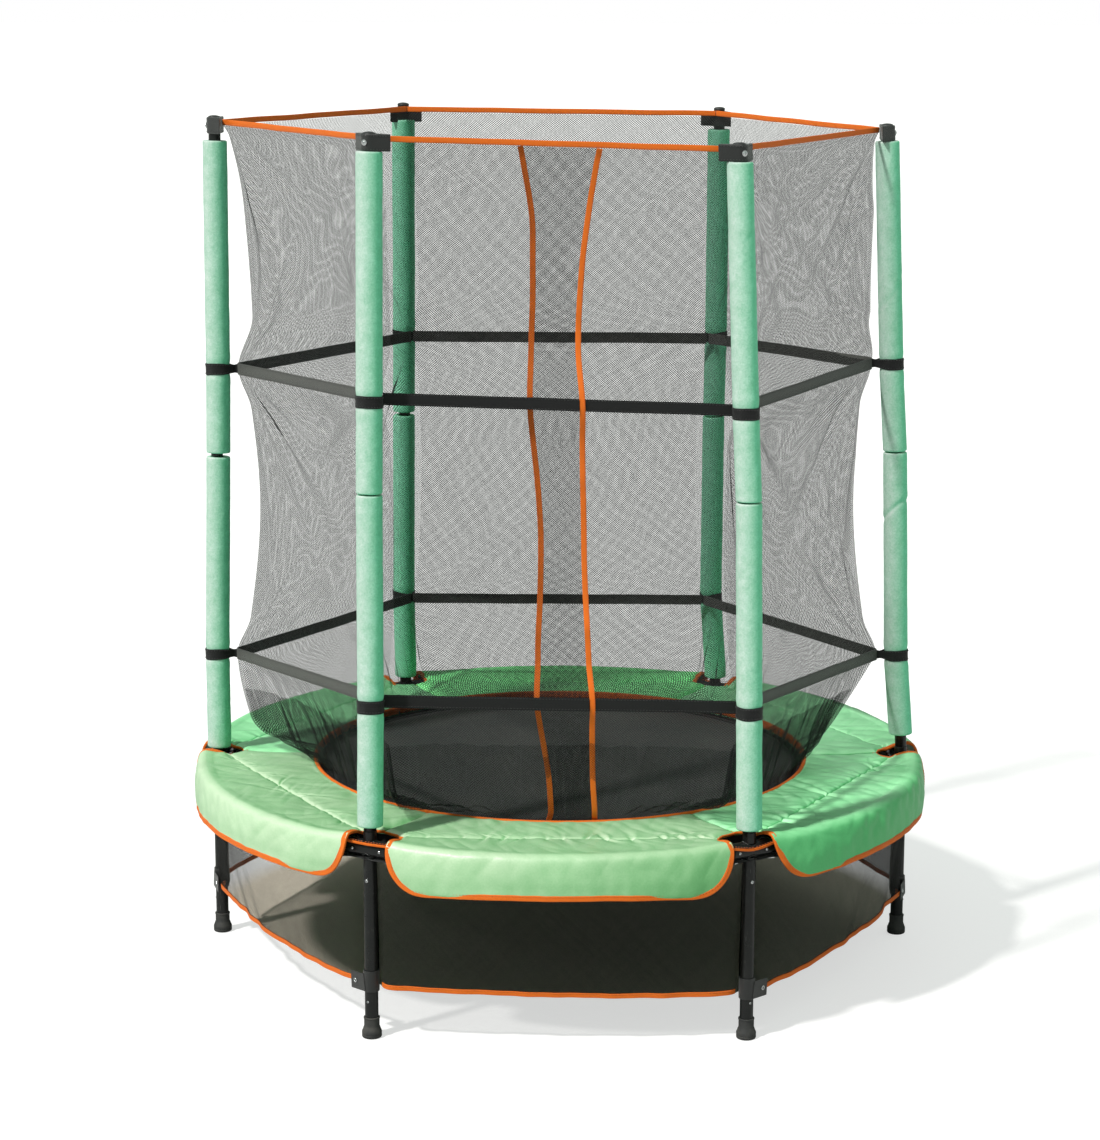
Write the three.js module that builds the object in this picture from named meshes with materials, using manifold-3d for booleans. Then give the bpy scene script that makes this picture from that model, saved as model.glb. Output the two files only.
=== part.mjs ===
// A small round trampoline with a net enclosure. Six legs carry a ring of curved tube, coil
// springs hold a woven mat in it, and six padded poles hold a net around the jumping space.
// Millimetres, +Z up. The origin is on the floor under the middle of the mat.
import * as THREE from 'three';
import { mergeVertices } from 'three/addons/utils/BufferGeometryUtils.js';
import Module from 'manifold-3d';

const wasm = await Module();
wasm.setup();

// ---------- driving dimensions ----------

const clearance = 0.3;              // between pieces that touch or plug together
const overlap = 1;                  // of two shapes that are joined, or of a cutter past a face

// ring and legs
const frameRadius = 665;            // circle on which the legs and poles stand
const ringHeight = 349;             // centre line of the ring above the floor
const ringTubeDiameter = 25;
const ringTubeGap = 4;              // between the two tube ends inside a socket
const socketWall = 1.7;
const socketLength = 78;            // along the ring
const legDiameter = 24;
const legWall = 1.5;
const stubRise = 32;                // of the pole socket above the ring's centre line
const footHeight = 38;
const footDiameter = 35.5;
const footWall = 1.5;
const footSole = 6;
const footEdge = 1.5;               // worn edge of the sole
const footFlare = 0.8;              // of the collar above the sole

// enclosure poles and their foam
const poleDiameter = 22.5;
const poleWall = 1.6;
const poleLean = 1.7;               // degrees inward, drawn in by the net
const poleRise = 12.5;              // of a pole's top above the net's
const poleInsertion = 16;           // of its swaged end inside the stub
const capRise = 5.5;
const capPlugLength = 18;
const foamDiameter = 47;
const foamBottom = 36;              // along the pole, above the ring's centre line
const foamTopGap = 3.8;             // below the binding's corner tab
const foamJoint = 609;
const foamJointGap = 3;
const foamClearance = 0.5;          // round the pole
const foamRounding = 2.5;           // of its cut ends

// mat, springs and the triangular rings between them
const springRoom = 175;             // from the mat's edge to the ring's centre line
const matThickness = 1.6;
const matBorderWidth = 38;
const matBorderThickness = 5;
const matRise = 3;                  // of the mat's top above the ring's centre line
const springsPerRail = 6;
const springDiameter = 14;
const springWire = 2.8;
const springTail = 10;              // of straight wire between a spring's body and the ring
const ringWire = 3.2;
const ringReach = 24;               // of a triangular ring beyond the mat
const ringMouthWidth = 26;          // at the mat
const ringBarWidth = 18;            // at the spring
const hookDrop = 9;
const hookReach = 3;                // beyond the triangular ring's bar
const bedSpringGap = 4;             // from the ring's bar to the spring's body

// safety pad
const padCover = 18;                // over the mat's edge
const padCreaseInset = 93;          // of the sewn line between two poles from the ring
const padOverhang = 47;             // outside the ring's centre line
const padEdgeThickness = 9;
const padFoamThickness = 14;
const padRimThickness = 9;
const padFlapThickness = 3;
const padFlapDrop = 52;             // below the ring's centre line
const padShoulder = 13;             // width of the bend from the pad's top into its flap
const padShoulderDrop = 20;
const notchHalfWidth = 37;
const notchDepth = 48;              // inward of the pole's axis
const flapCornerRadius = 58;
const padSeamGap = 0.5;

// net
const netThickness = 1.2;
const netTop = 1572;
const netHemGap = 11;               // from the pad's inner edge to the net's hem
const netTopInset = 16;             // inward of the pole's axis
const netBandInset = 38;
const netUpperDraw = 66;            // deepest inset between the top and the middle band
const netLowerDraw = 80;            // deepest inset between the two bands
const netBow = 10;                  // of a panel between its corners
const netDrapeHeight = 68;          // above the pad, where the net starts to turn inward
const netDrapeInset = 64;
const doorOuterEdge = 0.62;         // share of the bay that the outer door covers
const doorInnerEdge = 0.44;         // where the inner door begins
const bandWidth = 22;
const bandThickness = 1.6;
const midBandHeight = 1124;
const lowBandHeight = 572;
const bandLoopThickness = 1.8;
const bandLoopHalfWidth = 24;
const bindingHeight = 15;
const bindingThickness = 5;
const cornerTabHeight = 30;
const cornerTabHalfWidth = 28;
const cornerTabThickness = 2;

// lower skirt
const skirtThickness = 1.5;
const skirtRise = 19;               // of its top above the ring's centre line
const skirtBottom = 100;
const skirtBulge = 30;              // of its lower edge between two legs
const skirtTabHeight = 38;
const skirtTabThickness = 2.6;
const skirtTabDrop = 8;             // below the skirt's lower edge

// facets
const tubeSides = 10;
const foamSides = 12;
const wireSides = 4;
const railArcSteps = 6;
const padColumns = 8;
const netColumns = 6;
const skirtColumnsPerBay = 8;

// ---------- sizes that follow ----------

const cornerNames = ['front_left', 'front_right', 'right', 'back_right', 'back_left', 'left'];
const bayNames = ['front', 'right_front', 'right_back', 'back', 'left_back', 'left_front'];
const sector = 2 * Math.PI / cornerNames.length;
const firstCorner = -Math.PI / 2 - sector / 2;
const cornerAngle = (k) => firstCorner + k * sector;
const bayAngle = (k) => cornerAngle(k) + sector / 2;
const half = sector / 2;
const lean = THREE.MathUtils.degToRad(poleLean);
const matTop = ringHeight + matRise;
const matRadius = frameRadius - springRoom;
const padInnerRadius = matRadius - padCover;
const padCreaseApothem = frameRadius - padCreaseInset;
const padOuterRadius = frameRadius + padOverhang;
const padFlapBottom = ringHeight - padFlapDrop;
const skirtTop = ringHeight + skirtRise;
const netHemRadius = padInnerRadius - netHemGap;
const bindingTop = netTop + clearance + bindingHeight;
const cornerTabBottom = bindingTop - cornerTabHeight;
const ringRadius = ringTubeDiameter / 2;
const ringTop = ringHeight + ringRadius;
const socketBore = ringRadius + clearance;
const socketRadius = socketBore + socketWall;
const legRadius = legDiameter / 2;
const legBore = legRadius - legWall;
const poleRadius = poleDiameter / 2;
const poleBore = poleRadius - poleWall;
const foamRadius = foamDiameter / 2;
const skirtTopRadius = frameRadius + socketRadius + clearance
  + socketLength / 2 * Math.tan(half / skirtColumnsPerBay);

// distance of the leaning pole's axis from the middle at a height
function poleDistance(height) {
  return frameRadius - (height - ringHeight) * Math.tan(lean);
}

// a height above the floor as a length along the pole from the ring's centre line
function alongPole(height) {
  return (height - ringHeight) / Math.cos(lean);
}

const poleTop = alongPole(netTop + poleRise);
const foamTop = alongPole(cornerTabBottom - foamTopGap);

// ---------- materials ----------

const finish = (color, roughness, metalness = 0) =>
  new THREE.MeshStandardMaterial({ color, roughness, metalness });
const blackSteel = finish(0x17191b, 0.4, 0.3);
const springSteel = finish(0x2a2c2e, 0.45, 0.4);
const blackRubber = finish(0x1c1d1f, 0.8);
const blackPlastic = finish(0x18191a, 0.5);
const greenFoam = finish(0x78cfa2, 0.85);
const greenVinyl = finish(0x74cf78, 0.35);
const blackNet = finish(0x34373a, 0.9);
const blackWeb = finish(0x1a1b1d, 0.85);
const blackMat = finish(0x232528, 0.8);
const orangeBinding = finish(0xec6a2c, 0.6);

// ---------- helpers ----------

function toSolid(geometry) {
  const bare = geometry.clone();
  bare.deleteAttribute('normal');
  bare.deleteAttribute('uv');
  const merged = mergeVertices(bare, 1e-4);
  return new wasm.Manifold(new wasm.Mesh({
    numProp: 3,
    vertProperties: new Float32Array(merged.attributes.position.array),
    triVerts: new Uint32Array(merged.index.array),
  }));
}

function toGeometry(solid) {
  const mesh = solid.getMesh();
  const geometry = new THREE.BufferGeometry();
  geometry.setAttribute('position', new THREE.BufferAttribute(mesh.vertProperties, 3));
  geometry.setIndex(new THREE.BufferAttribute(mesh.triVerts, 1));
  geometry.computeVertexNormals();
  return geometry;
}

function join(...geometries) {
  return toGeometry(geometries.map(toSolid).reduce((all, next) => all.add(next)));
}

function cut(geometry, ...cutters) {
  return toGeometry(cutters.map(toSolid).reduce((rest, next) => rest.subtract(next), toSolid(geometry)));
}

// a solid of revolution about Z from [radius, height] points that run up its outside
function turned(points, sides) {
  const outline = points.map(([radius, height]) => new THREE.Vector2(radius, height));
  return new THREE.LatheGeometry(outline, sides).rotateX(Math.PI / 2);
}

// an upright round bar between two heights
function upright(radius, bottom, top, sides = tubeSides) {
  const bar = new THREE.CylinderGeometry(radius, radius, top - bottom, sides).rotateX(Math.PI / 2);
  return bar.translate(0, 0, (top + bottom) / 2);
}

// a round bar lying along X between two distances
function lying(radius, start, end, height, sides) {
  const bar = new THREE.CylinderGeometry(radius, radius, end - start, sides).rotateZ(Math.PI / 2);
  return bar.translate((start + end) / 2, 0, height);
}

// an open tube about Z
function pipe(outer, inner, bottom, top, sides = tubeSides) {
  return turned([[inner, bottom], [outer, bottom], [outer, top], [inner, top], [inner, bottom]], sides);
}

// a flat outline in X and Y raised between two heights
function raised(shape, bottom, top) {
  return new THREE.ExtrudeGeometry(shape, { depth: top - bottom, bevelEnabled: false, curveSegments: 4 })
    .translate(0, 0, bottom);
}

// a line through chosen points, which keeps a section at each of them
class Polyline extends THREE.Curve {
  constructor(points) {
    super();
    this.points = points;
  }

  getPoint(t) {
    const spans = this.points.length - 1;
    const span = Math.min(Math.floor(t * spans), spans - 1);
    return this.points[span].clone().lerp(this.points[span + 1], t * spans - span);
  }

  getUtoTmapping(u) {
    return u;
  }
}

// a round bar through points
function roundBar(radius, points, sides) {
  const section = new THREE.Shape().absarc(0, 0, radius, 0, 2 * Math.PI);
  return new THREE.ExtrudeGeometry(section, {
    extrudePath: new Polyline(points),
    steps: points.length - 1,
    curveSegments: sides / 2,
    bevelEnabled: false,
  });
}

// A closed sheet of cloth or foam. face(u, v, side) gives a point, with u across and v down the
// sheet from 0 to 1, and side 0 or 1 for its two faces. A wrapped sheet closes on itself in u.
function sheet(columns, rows, face, wrapped = false) {
  const positions = [];
  const index = [];
  const across = wrapped ? columns : columns + 1;
  for (const side of [0, 1]) {
    for (let row = 0; row <= rows; row += 1) {
      for (let column = 0; column < across; column += 1) {
        positions.push(...face(column / columns, row / rows, side).toArray());
      }
    }
  }
  const at = (side, row, column) => (side * (rows + 1) + row) * across + column % across;
  const quad = (a, b, c, d) => index.push(a, b, c, a, c, d);
  for (let row = 0; row < rows; row += 1) {
    for (let column = 0; column < columns; column += 1) {
      quad(at(0, row, column), at(0, row, column + 1), at(0, row + 1, column + 1), at(0, row + 1, column));
      quad(at(1, row, column), at(1, row + 1, column), at(1, row + 1, column + 1), at(1, row, column + 1));
    }
  }
  for (let column = 0; column < columns; column += 1) {
    quad(at(0, 0, column), at(1, 0, column), at(1, 0, column + 1), at(0, 0, column + 1));
    quad(at(0, rows, column), at(0, rows, column + 1), at(1, rows, column + 1), at(1, rows, column));
  }
  if (!wrapped) {
    for (let row = 0; row < rows; row += 1) {
      quad(at(0, row, 0), at(0, row + 1, 0), at(1, row + 1, 0), at(1, row, 0));
      quad(at(0, row, columns), at(1, row, columns), at(1, row + 1, columns), at(0, row + 1, columns));
    }
  }
  const geometry = new THREE.BufferGeometry();
  geometry.setAttribute('position', new THREE.Float32BufferAttribute(positions, 3));
  geometry.setIndex(index);
  return facingOut(geometry);
}

// turns a closed mesh's faces outward
function facingOut(geometry) {
  const at = geometry.attributes.position;
  const index = geometry.index.array;
  const [a, b, c] = [new THREE.Vector3(), new THREE.Vector3(), new THREE.Vector3()];
  let volume = 0;
  for (let i = 0; i < index.length; i += 3) {
    a.fromBufferAttribute(at, index[i]);
    b.fromBufferAttribute(at, index[i + 1]);
    c.fromBufferAttribute(at, index[i + 2]);
    volume += a.dot(b.cross(c));
  }
  if (volume < 0) {
    for (let i = 0; i < index.length; i += 3) {
      [index[i + 1], index[i + 2]] = [index[i + 2], index[i + 1]];
    }
  }
  geometry.computeVertexNormals();
  return geometry;
}

const trampoline = new THREE.Group();
trampoline.name = 'trampoline';

function add(parent, name, geometry, material) {
  const piece = new THREE.Mesh(geometry, material);
  piece.name = name;
  parent.add(piece);
  return piece;
}

// a group turned to a direction about Z
function turnedGroup(angle) {
  const group = new THREE.Group();
  group.rotation.z = angle;
  trampoline.add(group);
  return group;
}

// ---------- legs: upright tube, welded ring socket and pole stub ----------

function tilted(geometry) {
  return geometry.rotateY(-lean).translate(frameRadius, 0, ringHeight);
}

// a bar along the ring at a corner, square to the leg
function tangential(radius, length) {
  return new THREE.CylinderGeometry(radius, radius, length, tubeSides).translate(frameRadius, 0, ringHeight);
}

function legGeometry() {
  const bottom = footSole + clearance;
  const body = join(
    tangential(socketRadius, socketLength),
    upright(legRadius, bottom, ringHeight).translate(frameRadius, 0, 0),
    tilted(upright(legRadius, 0, stubRise)),
  );
  return cut(
    body,
    tangential(socketBore, socketLength * 1.5),
    upright(legBore, bottom - overlap, ringHeight - socketRadius - legWall).translate(frameRadius, 0, 0),
    tilted(upright(legBore, socketBore, stubRise + overlap)),
  );
}

function footGeometry() {
  const bore = legRadius + clearance;
  const collar = bore + footWall;
  const outer = footDiameter / 2;
  return turned([
    [0, 0], [outer - footEdge, 0], [outer, footHeight * 0.33], [collar + footFlare, footHeight * 0.52],
    [collar, footHeight], [bore, footHeight], [bore, footSole], [0, footSole],
  ], tubeSides);
}

// ---------- ring: curved rails, each with the springs that it carries ----------

const barMiddle = matRadius + ringReach - ringWire / 2;
const wireHeight = matTop - matBorderThickness / 2;
const hookHeight = wireHeight + ringWire / 2 + clearance + springWire / 2;
const springStart = barMiddle + ringWire / 2 + bedSpringGap;
const springEnd = frameRadius - ringRadius - springTail;
const hookEnd = barMiddle - ringWire / 2 - hookReach;
const springSpacing = sector / springsPerRail;

function springGeometries(angle) {
  const wire = springWire / 2;
  const hook = [[springStart + overlap, 0], [hookEnd, 0], [hookEnd, -hookDrop]]
    .map(([x, drop]) => new THREE.Vector3(x, 0, hookHeight + drop));
  const pieces = [
    lying(springDiameter / 2, springStart, springEnd, wireHeight, wireSides + 1),
    lying(wire, springEnd - overlap, frameRadius - ringRadius + 2 * overlap, wireHeight, wireSides),
    roundBar(wire, hook, wireSides),
  ];
  return pieces.map((piece) => piece.rotateZ(angle));
}

// a rail's centre line: straight inside its two sockets and an arc between them
function railPoints() {
  const ends = [ringTubeGap / 2, socketLength / 2 + 2];
  const points = ends.map((run) => new THREE.Vector3(frameRadius, run, ringHeight)
    .applyAxisAngle(new THREE.Vector3(0, 0, 1), -half));
  const arcStart = 2 * ends[1] / frameRadius - half;
  for (let k = 0; k <= railArcSteps / 2; k += 1) {
    const angle = arcStart * (1 - 2 * k / railArcSteps);
    points.push(new THREE.Vector3(frameRadius * Math.cos(angle), frameRadius * Math.sin(angle), ringHeight));
  }
  const mirrored = points.slice(0, -1).reverse().map((point) => new THREE.Vector3(point.x, -point.y, point.z));
  return [...points, ...mirrored];
}

function railGeometry() {
  const pieces = [roundBar(ringRadius, railPoints(), tubeSides)];
  for (let k = 0; k < springsPerRail; k += 1) {
    pieces.push(...springGeometries((k + 0.5) * springSpacing - half));
  }
  return join(...pieces);
}

// ---------- mat with its border and triangular rings ----------

function ringOutline(inset) {
  const shape = new THREE.Shape();
  const inner = matRadius - matBorderWidth / 4 + inset;
  const outer = matRadius + ringReach - inset;
  const mouth = ringMouthWidth / 2 - inset;
  const bar = ringBarWidth / 2 - inset;
  shape.moveTo(inner, -mouth);
  shape.lineTo(outer, -bar);
  shape.lineTo(outer, bar);
  shape.lineTo(inner, mouth);
  shape.closePath();
  return shape;
}

function matGeometry() {
  const border = matRadius - matBorderWidth;
  const hem = border + 2;
  const top = matTop - (matBorderThickness - matThickness) / 2;
  const pieces = [turned([
    [0, top - matThickness], [border, top - matThickness], [hem, matTop - matBorderThickness],
    [matRadius, matTop - matBorderThickness], [matRadius, matTop], [hem, matTop], [border, top], [0, top],
  ], springsPerRail * cornerNames.length)];
  for (let k = 0; k < springsPerRail * cornerNames.length; k += 1) {
    const ring = ringOutline(0);
    ring.holes.push(ringOutline(ringWire));
    const bottom = wireHeight - ringWire / 2;
    pieces.push(raised(ring, bottom, bottom + ringWire).rotateZ(firstCorner + (k + 0.5) * springSpacing));
  }
  return join(...pieces);
}

// ---------- poles, caps and foam sleeves, drawn along the pole ----------

function poleGeometry() {
  const swage = legBore - clearance;
  const shoulder = stubRise + clearance;
  const bottom = stubRise - poleInsertion;
  return turned([
    [poleBore, bottom], [swage, bottom], [swage, shoulder], [poleRadius, shoulder],
    [poleRadius, poleTop], [poleBore, poleTop], [poleBore, bottom],
  ], tubeSides);
}

function capGeometry() {
  const plug = poleBore - clearance;
  const seat = poleTop + clearance;
  return turned([
    [0, poleTop - capPlugLength], [plug, poleTop - capPlugLength], [plug, seat], [poleRadius + 0.4, seat],
    [poleRadius + 0.4, seat + capRise * 0.45], [0, seat + capRise],
  ], tubeSides);
}

function foamGeometry(bottom, top) {
  const bore = poleRadius + foamClearance;
  const end = foamRadius - foamRounding;
  return turned([
    [bore, bottom], [end, bottom], [foamRadius, bottom + foamRounding],
    [foamRadius, top - foamRounding], [end, top], [bore, top], [bore, bottom],
  ], foamSides);
}

// ---------- safety pad ----------

// where a pad panel's two faces lie: share of the way from the inner edge to the crease, and the
// heights of its top and bottom there
const ringRest = ringTop + clearance + 0.4;
const springRest = wireHeight + springDiameter / 2 + clearance;
const matRest = matTop + clearance + 0.7;
const hookRest = hookHeight + springWire / 2 + clearance;
const padInside = [
  [0, matRest + padEdgeThickness, matRest],
  [0.05, hookRest + padFoamThickness * 0.85, hookRest - 0.6],
  [0.18, springRest + padFoamThickness * 0.95, springRest],
  [0.55, springRest + padFoamThickness, springRest],
  [0.79, springRest + padFoamThickness * 0.95, springRest],
  [0.88, springRest + padFoamThickness * 0.75, springRest],
  [1, springRest + 4, springRest],
];
// outside the crease: radius of each face and its height
const skirtRest = skirtTop + clearance + 1.2;
const skirtEdge = skirtTopRadius + skirtThickness + 2;
const flapShoulder = padOuterRadius - padShoulder;
const flapBend = padOuterRadius - padShoulder * 0.4;
const flapBendHeight = skirtRest - padShoulderDrop;
const flapMiddle = padOuterRadius - padShoulder * 0.08;
const flapMiddleHeight = (flapBendHeight + padFlapBottom) / 2;
const padOutside = [
  [frameRadius - ringRadius, ringRest + padRimThickness, frameRadius - ringRadius, ringRest],
  [skirtEdge, skirtRest + padRimThickness * 0.45, skirtEdge, skirtRest],
  [flapShoulder, skirtRest - 1, flapShoulder - 5, skirtRest - 5],
  [flapBend, flapBendHeight, flapBend - padFlapThickness, flapBendHeight - 1],
  [flapMiddle, flapMiddleHeight, flapMiddle - padFlapThickness, flapMiddleHeight],
  [padOuterRadius, padFlapBottom, padOuterRadius - padFlapThickness, padFlapBottom],
];

// half the gap between two panels at a distance from the middle and a height
function notchGap(radius, height) {
  const centre = frameRadius - notchDepth + notchHalfWidth;
  let gap = padSeamGap / 2;
  if (radius > centre) {
    gap = notchHalfWidth;
  } else if (radius > centre - notchHalfWidth) {
    gap = Math.max(gap, Math.sqrt(notchHalfWidth ** 2 - (centre - radius) ** 2));
  }
  const corner = padFlapBottom + flapCornerRadius - height;
  if (radius > frameRadius + ringRadius && corner > 0) {
    gap += flapCornerRadius - Math.sqrt(flapCornerRadius ** 2 - Math.min(corner, flapCornerRadius) ** 2);
  }
  return gap;
}

function padPoint(row, side, angle) {
  if (row < padInside.length) {
    const [share, top, bottom] = padInside[row];
    const crease = padCreaseApothem / Math.cos(angle);
    return [padInnerRadius + (crease - padInnerRadius) * share, side ? top : bottom];
  }
  const station = padOutside[row - padInside.length];
  return side ? [station[0], station[1]] : [station[2], station[3]];
}

function padGeometry() {
  const rows = padInside.length + padOutside.length - 1;
  return sheet(padColumns, rows, (u, v, side) => {
    const row = Math.round(v * rows);
    let reach = half;
    for (let pass = 0; pass < 4; pass += 1) {
      const [radius, height] = padPoint(row, 1, reach);
      reach = half - Math.asin(notchGap(radius, height) / radius);
    }
    const angle = (2 * u - 1) * reach;
    const [radius, height] = padPoint(row, side, angle);
    return new THREE.Vector3(radius * Math.cos(angle), radius * Math.sin(angle), height);
  });
}

// ---------- net panels and door flaps ----------

// height, distance of a corner from the middle, bow of the panel, and how far the straight panel
// has turned into a round one
const doorStandOff = netThickness + clearance + 0.1;
const padTopHeight = springRest + padFoamThickness;
const cornerAt = (height, inset) => poleDistance(height) - inset;
const foamClear = foamRadius + netThickness + doorStandOff + 2 * clearance;
const netHalfInset = netBandInset + (netLowerDraw - netBandInset) * 0.6;
const upperHeight = (share) => THREE.MathUtils.lerp(midBandHeight, netTop, share);
const lowerHeight = (share) => THREE.MathUtils.lerp(lowBandHeight, midBandHeight, share);
const drapeHeight = (share) => padTopHeight + netDrapeHeight * share;
const netStation = (height, inset, bow) => [height, cornerAt(height, inset), bow, 0];
const netProfile = [
  netStation(netTop, netTopInset, 0),
  netStation(cornerTabBottom - foamTopGap + clearance, foamClear, 0),
  netStation(upperHeight(0.675), foamClear + (netUpperDraw - foamClear) * 0.65, netBow * 0.8),
  netStation(upperHeight(0.22), netUpperDraw, netBow),
  netStation(midBandHeight, netBandInset, 0),
  netStation(lowerHeight(0.86), netHalfInset, netBow * 0.6),
  netStation(lowerHeight(0.55), netLowerDraw, netBow),
  netStation(lowerHeight(0.13), netHalfInset, netBow * 0.6),
  netStation(lowBandHeight, netBandInset, 0),
  [drapeHeight(1), frameRadius - netDrapeInset, netBow * 0.2, 0.12],
  [drapeHeight(0.47), frameRadius - netDrapeInset * 1.4, 0, 0.38],
  [drapeHeight(0.22), (frameRadius + netHemRadius) / 2 - netDrapeInset * 0.6, 0, 0.7],
  [drapeHeight(0.05), netHemRadius + netHemGap * 0.6, 0, 0.97],
  [matTop + clearance, netHemRadius, 0, 1],
];

function netPoint(share, row) {
  const [height, corner, bow, round] = netProfile[row];
  const angle = (share - 0.5) * sector;
  const flat = corner * Math.cos(half) - bow * 4 * share * (1 - share);
  const straight = new THREE.Vector2(flat, (2 * share - 1) * corner * Math.sin(half));
  const arc = new THREE.Vector2(corner * Math.cos(angle), corner * Math.sin(angle));
  const point = straight.lerp(arc, round);
  return new THREE.Vector3(point.x, point.y, height);
}

// the outward direction of the net, square to the slope between its rows
function netOutward(share, row) {
  const before = netPoint(share, Math.max(row - 1, 0));
  const after = netPoint(share, Math.min(row + 1, netProfile.length - 1));
  const slope = after.sub(before).normalize();
  const sideways = netPoint(Math.min(share + 0.01, 1), row).sub(netPoint(Math.max(share - 0.01, 0), row));
  return slope.cross(sideways.normalize()).normalize();
}

// shares of the bay between two of them, in equal steps
function steps(from, to, count) {
  return Array.from({ length: count + 1 }, (unused, k) => from + (to - from) * k / count);
}

// one panel with its columns at chosen shares of its bay, standing off the net's surface
function netGeometry(shares, standOff) {
  const rows = netProfile.length - 1;
  const columns = shares.length - 1;
  const margin = clearance / frameRadius;
  return sheet(columns, rows, (u, v, side) => {
    const row = Math.round(v * rows);
    const share = THREE.MathUtils.clamp(shares[Math.round(u * columns)], margin, 1 - margin);
    const offset = standOff + (side ? netThickness : 0);
    const outward = row === rows || row === 0 ? new THREE.Vector3(1, 0, 0) : netOutward(share, row);
    return netPoint(share, row).addScaledVector(outward, offset);
  });
}

// ---------- bands: six-sided loops of webbing or binding with a wrap round every pole ----------

function hexagon(radius) {
  const shape = new THREE.Shape();
  for (let k = 0; k < cornerNames.length; k += 1) {
    const [x, y] = [radius * Math.cos(cornerAngle(k)), radius * Math.sin(cornerAngle(k))];
    if (k === 0) {
      shape.moveTo(x, y);
    } else {
      shape.lineTo(x, y);
    }
  }
  shape.closePath();
  return shape;
}

// the wrap round a pole: it leaves the band on both sides and meets round the pole's front
function wrapGeometry({ centre, outer, vertex, halfWidth, bottom, top }) {
  const back = vertex - halfWidth * Math.tan(half);
  const shape = new THREE.Shape();
  const reach = Math.atan2(halfWidth, centre - back);
  const turn = Math.PI - reach - Math.acos(outer / Math.hypot(halfWidth, centre - back));
  shape.moveTo(vertex, 0);
  shape.lineTo(back, -halfWidth);
  shape.absarc(centre, 0, outer, -turn, turn, false);
  shape.lineTo(back, halfWidth);
  shape.closePath();
  return raised(shape, bottom, top);
}

function bandGeometry({ vertex, thickness, bottom, top, bore, boreSides, wrap }) {
  const band = hexagon(vertex + thickness / Math.cos(half));
  band.holes.push(hexagon(vertex));
  const wraps = cornerNames.map((name, k) => wrapGeometry(wrap).rotateZ(cornerAngle(k)));
  const bores = cornerNames.map((name, k) => upright(bore, wrap.bottom - overlap, wrap.top + overlap, boreSides)
    .translate(wrap.centre, 0, 0)
    .rotateZ(cornerAngle(k)));
  return cut(join(raised(band, bottom, top), ...wraps), ...bores);
}

const bandStandOff = doorStandOff + netThickness + 2 * clearance;

function webbingBand(height) {
  const centre = poleDistance(height);
  const bore = foamRadius + 2 * clearance;
  const vertex = centre - netBandInset + bandStandOff / Math.cos(half);
  const [bottom, top] = [height - bandWidth / 2, height + bandWidth / 2];
  const wrap = { centre, outer: bore + bandLoopThickness, vertex, halfWidth: bandLoopHalfWidth, bottom, top };
  return bandGeometry({ vertex, thickness: bandThickness, bottom, top, bore, boreSides: foamSides, wrap });
}

function topBinding() {
  const bottom = netTop + clearance;
  const top = bindingTop;
  const centre = poleDistance((cornerTabBottom + top) / 2);
  const bore = poleRadius + 3 * clearance;
  const vertex = cornerAt(netTop, netTopInset);
  const wrap = {
    centre,
    outer: bore + cornerTabThickness,
    vertex: vertex + (bandStandOff + clearance) / Math.cos(half),
    halfWidth: cornerTabHalfWidth,
    bottom: cornerTabBottom,
    top,
  };
  return bandGeometry({ vertex, thickness: bindingThickness, bottom, top, bore, boreSides: tubeSides, wrap });
}

// ---------- lower skirt with its tabs round the legs ----------

function skirtGeometry() {
  const columns = skirtColumnsPerBay * cornerNames.length;
  const bendHeight = ringHeight - ringRadius;
  const rowHeights = [skirtTop, bendHeight, skirtBottom];
  const rows = rowHeights.length - 1;
  const cornerRadius = frameRadius + (legRadius + clearance) / Math.cos(half);
  const cloth = sheet(columns, rows, (u, v, side) => {
    const height = rowHeights[Math.round(v * rows)];
    const column = Math.round(u * columns);
    const share = (column % skirtColumnsPerBay) / skirtColumnsPerBay;
    const angle = firstCorner + column / columns * 2 * Math.PI;
    const tilt = (share - 0.5) * sector;
    const straight = cornerRadius * Math.cos(half) / Math.cos(tilt) + skirtBulge * 4 * share * (1 - share);
    const fall = Math.max(0, (bendHeight - height) / (bendHeight - skirtBottom));
    const radius = skirtTopRadius + (straight - skirtTopRadius) * fall + (side ? skirtThickness : 0);
    return new THREE.Vector3(radius * Math.cos(angle), radius * Math.sin(angle), height);
  }, true);
  const tabs = cornerNames.map((name, k) => {
    const bore = legRadius + clearance;
    const bottom = skirtBottom - skirtTabDrop;
    return pipe(bore + skirtTabThickness, bore, bottom, bottom + skirtTabHeight)
      .translate(frameRadius, 0, 0)
      .rotateZ(cornerAngle(k));
  });
  return join(cloth, ...tabs);
}

// ---------- assembly ----------

cornerNames.forEach((name, k) => {
  const corner = turnedGroup(cornerAngle(k));
  add(corner, `leg_${name}`, legGeometry(), blackSteel);
  add(corner, `foot_${name}`, footGeometry(), blackRubber).position.x = frameRadius;
  const pole = new THREE.Group();
  pole.position.set(frameRadius, 0, ringHeight);
  pole.rotation.y = -lean;
  corner.add(pole);
  add(pole, `pole_${name}`, poleGeometry(), blackSteel);
  add(pole, `pole_cap_${name}`, capGeometry(), blackPlastic);
  add(pole, `foam_lower_${name}`, foamGeometry(foamBottom, foamJoint - foamJointGap / 2), greenFoam);
  add(pole, `foam_upper_${name}`, foamGeometry(foamJoint + foamJointGap / 2, foamTop), greenFoam);
});

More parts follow.
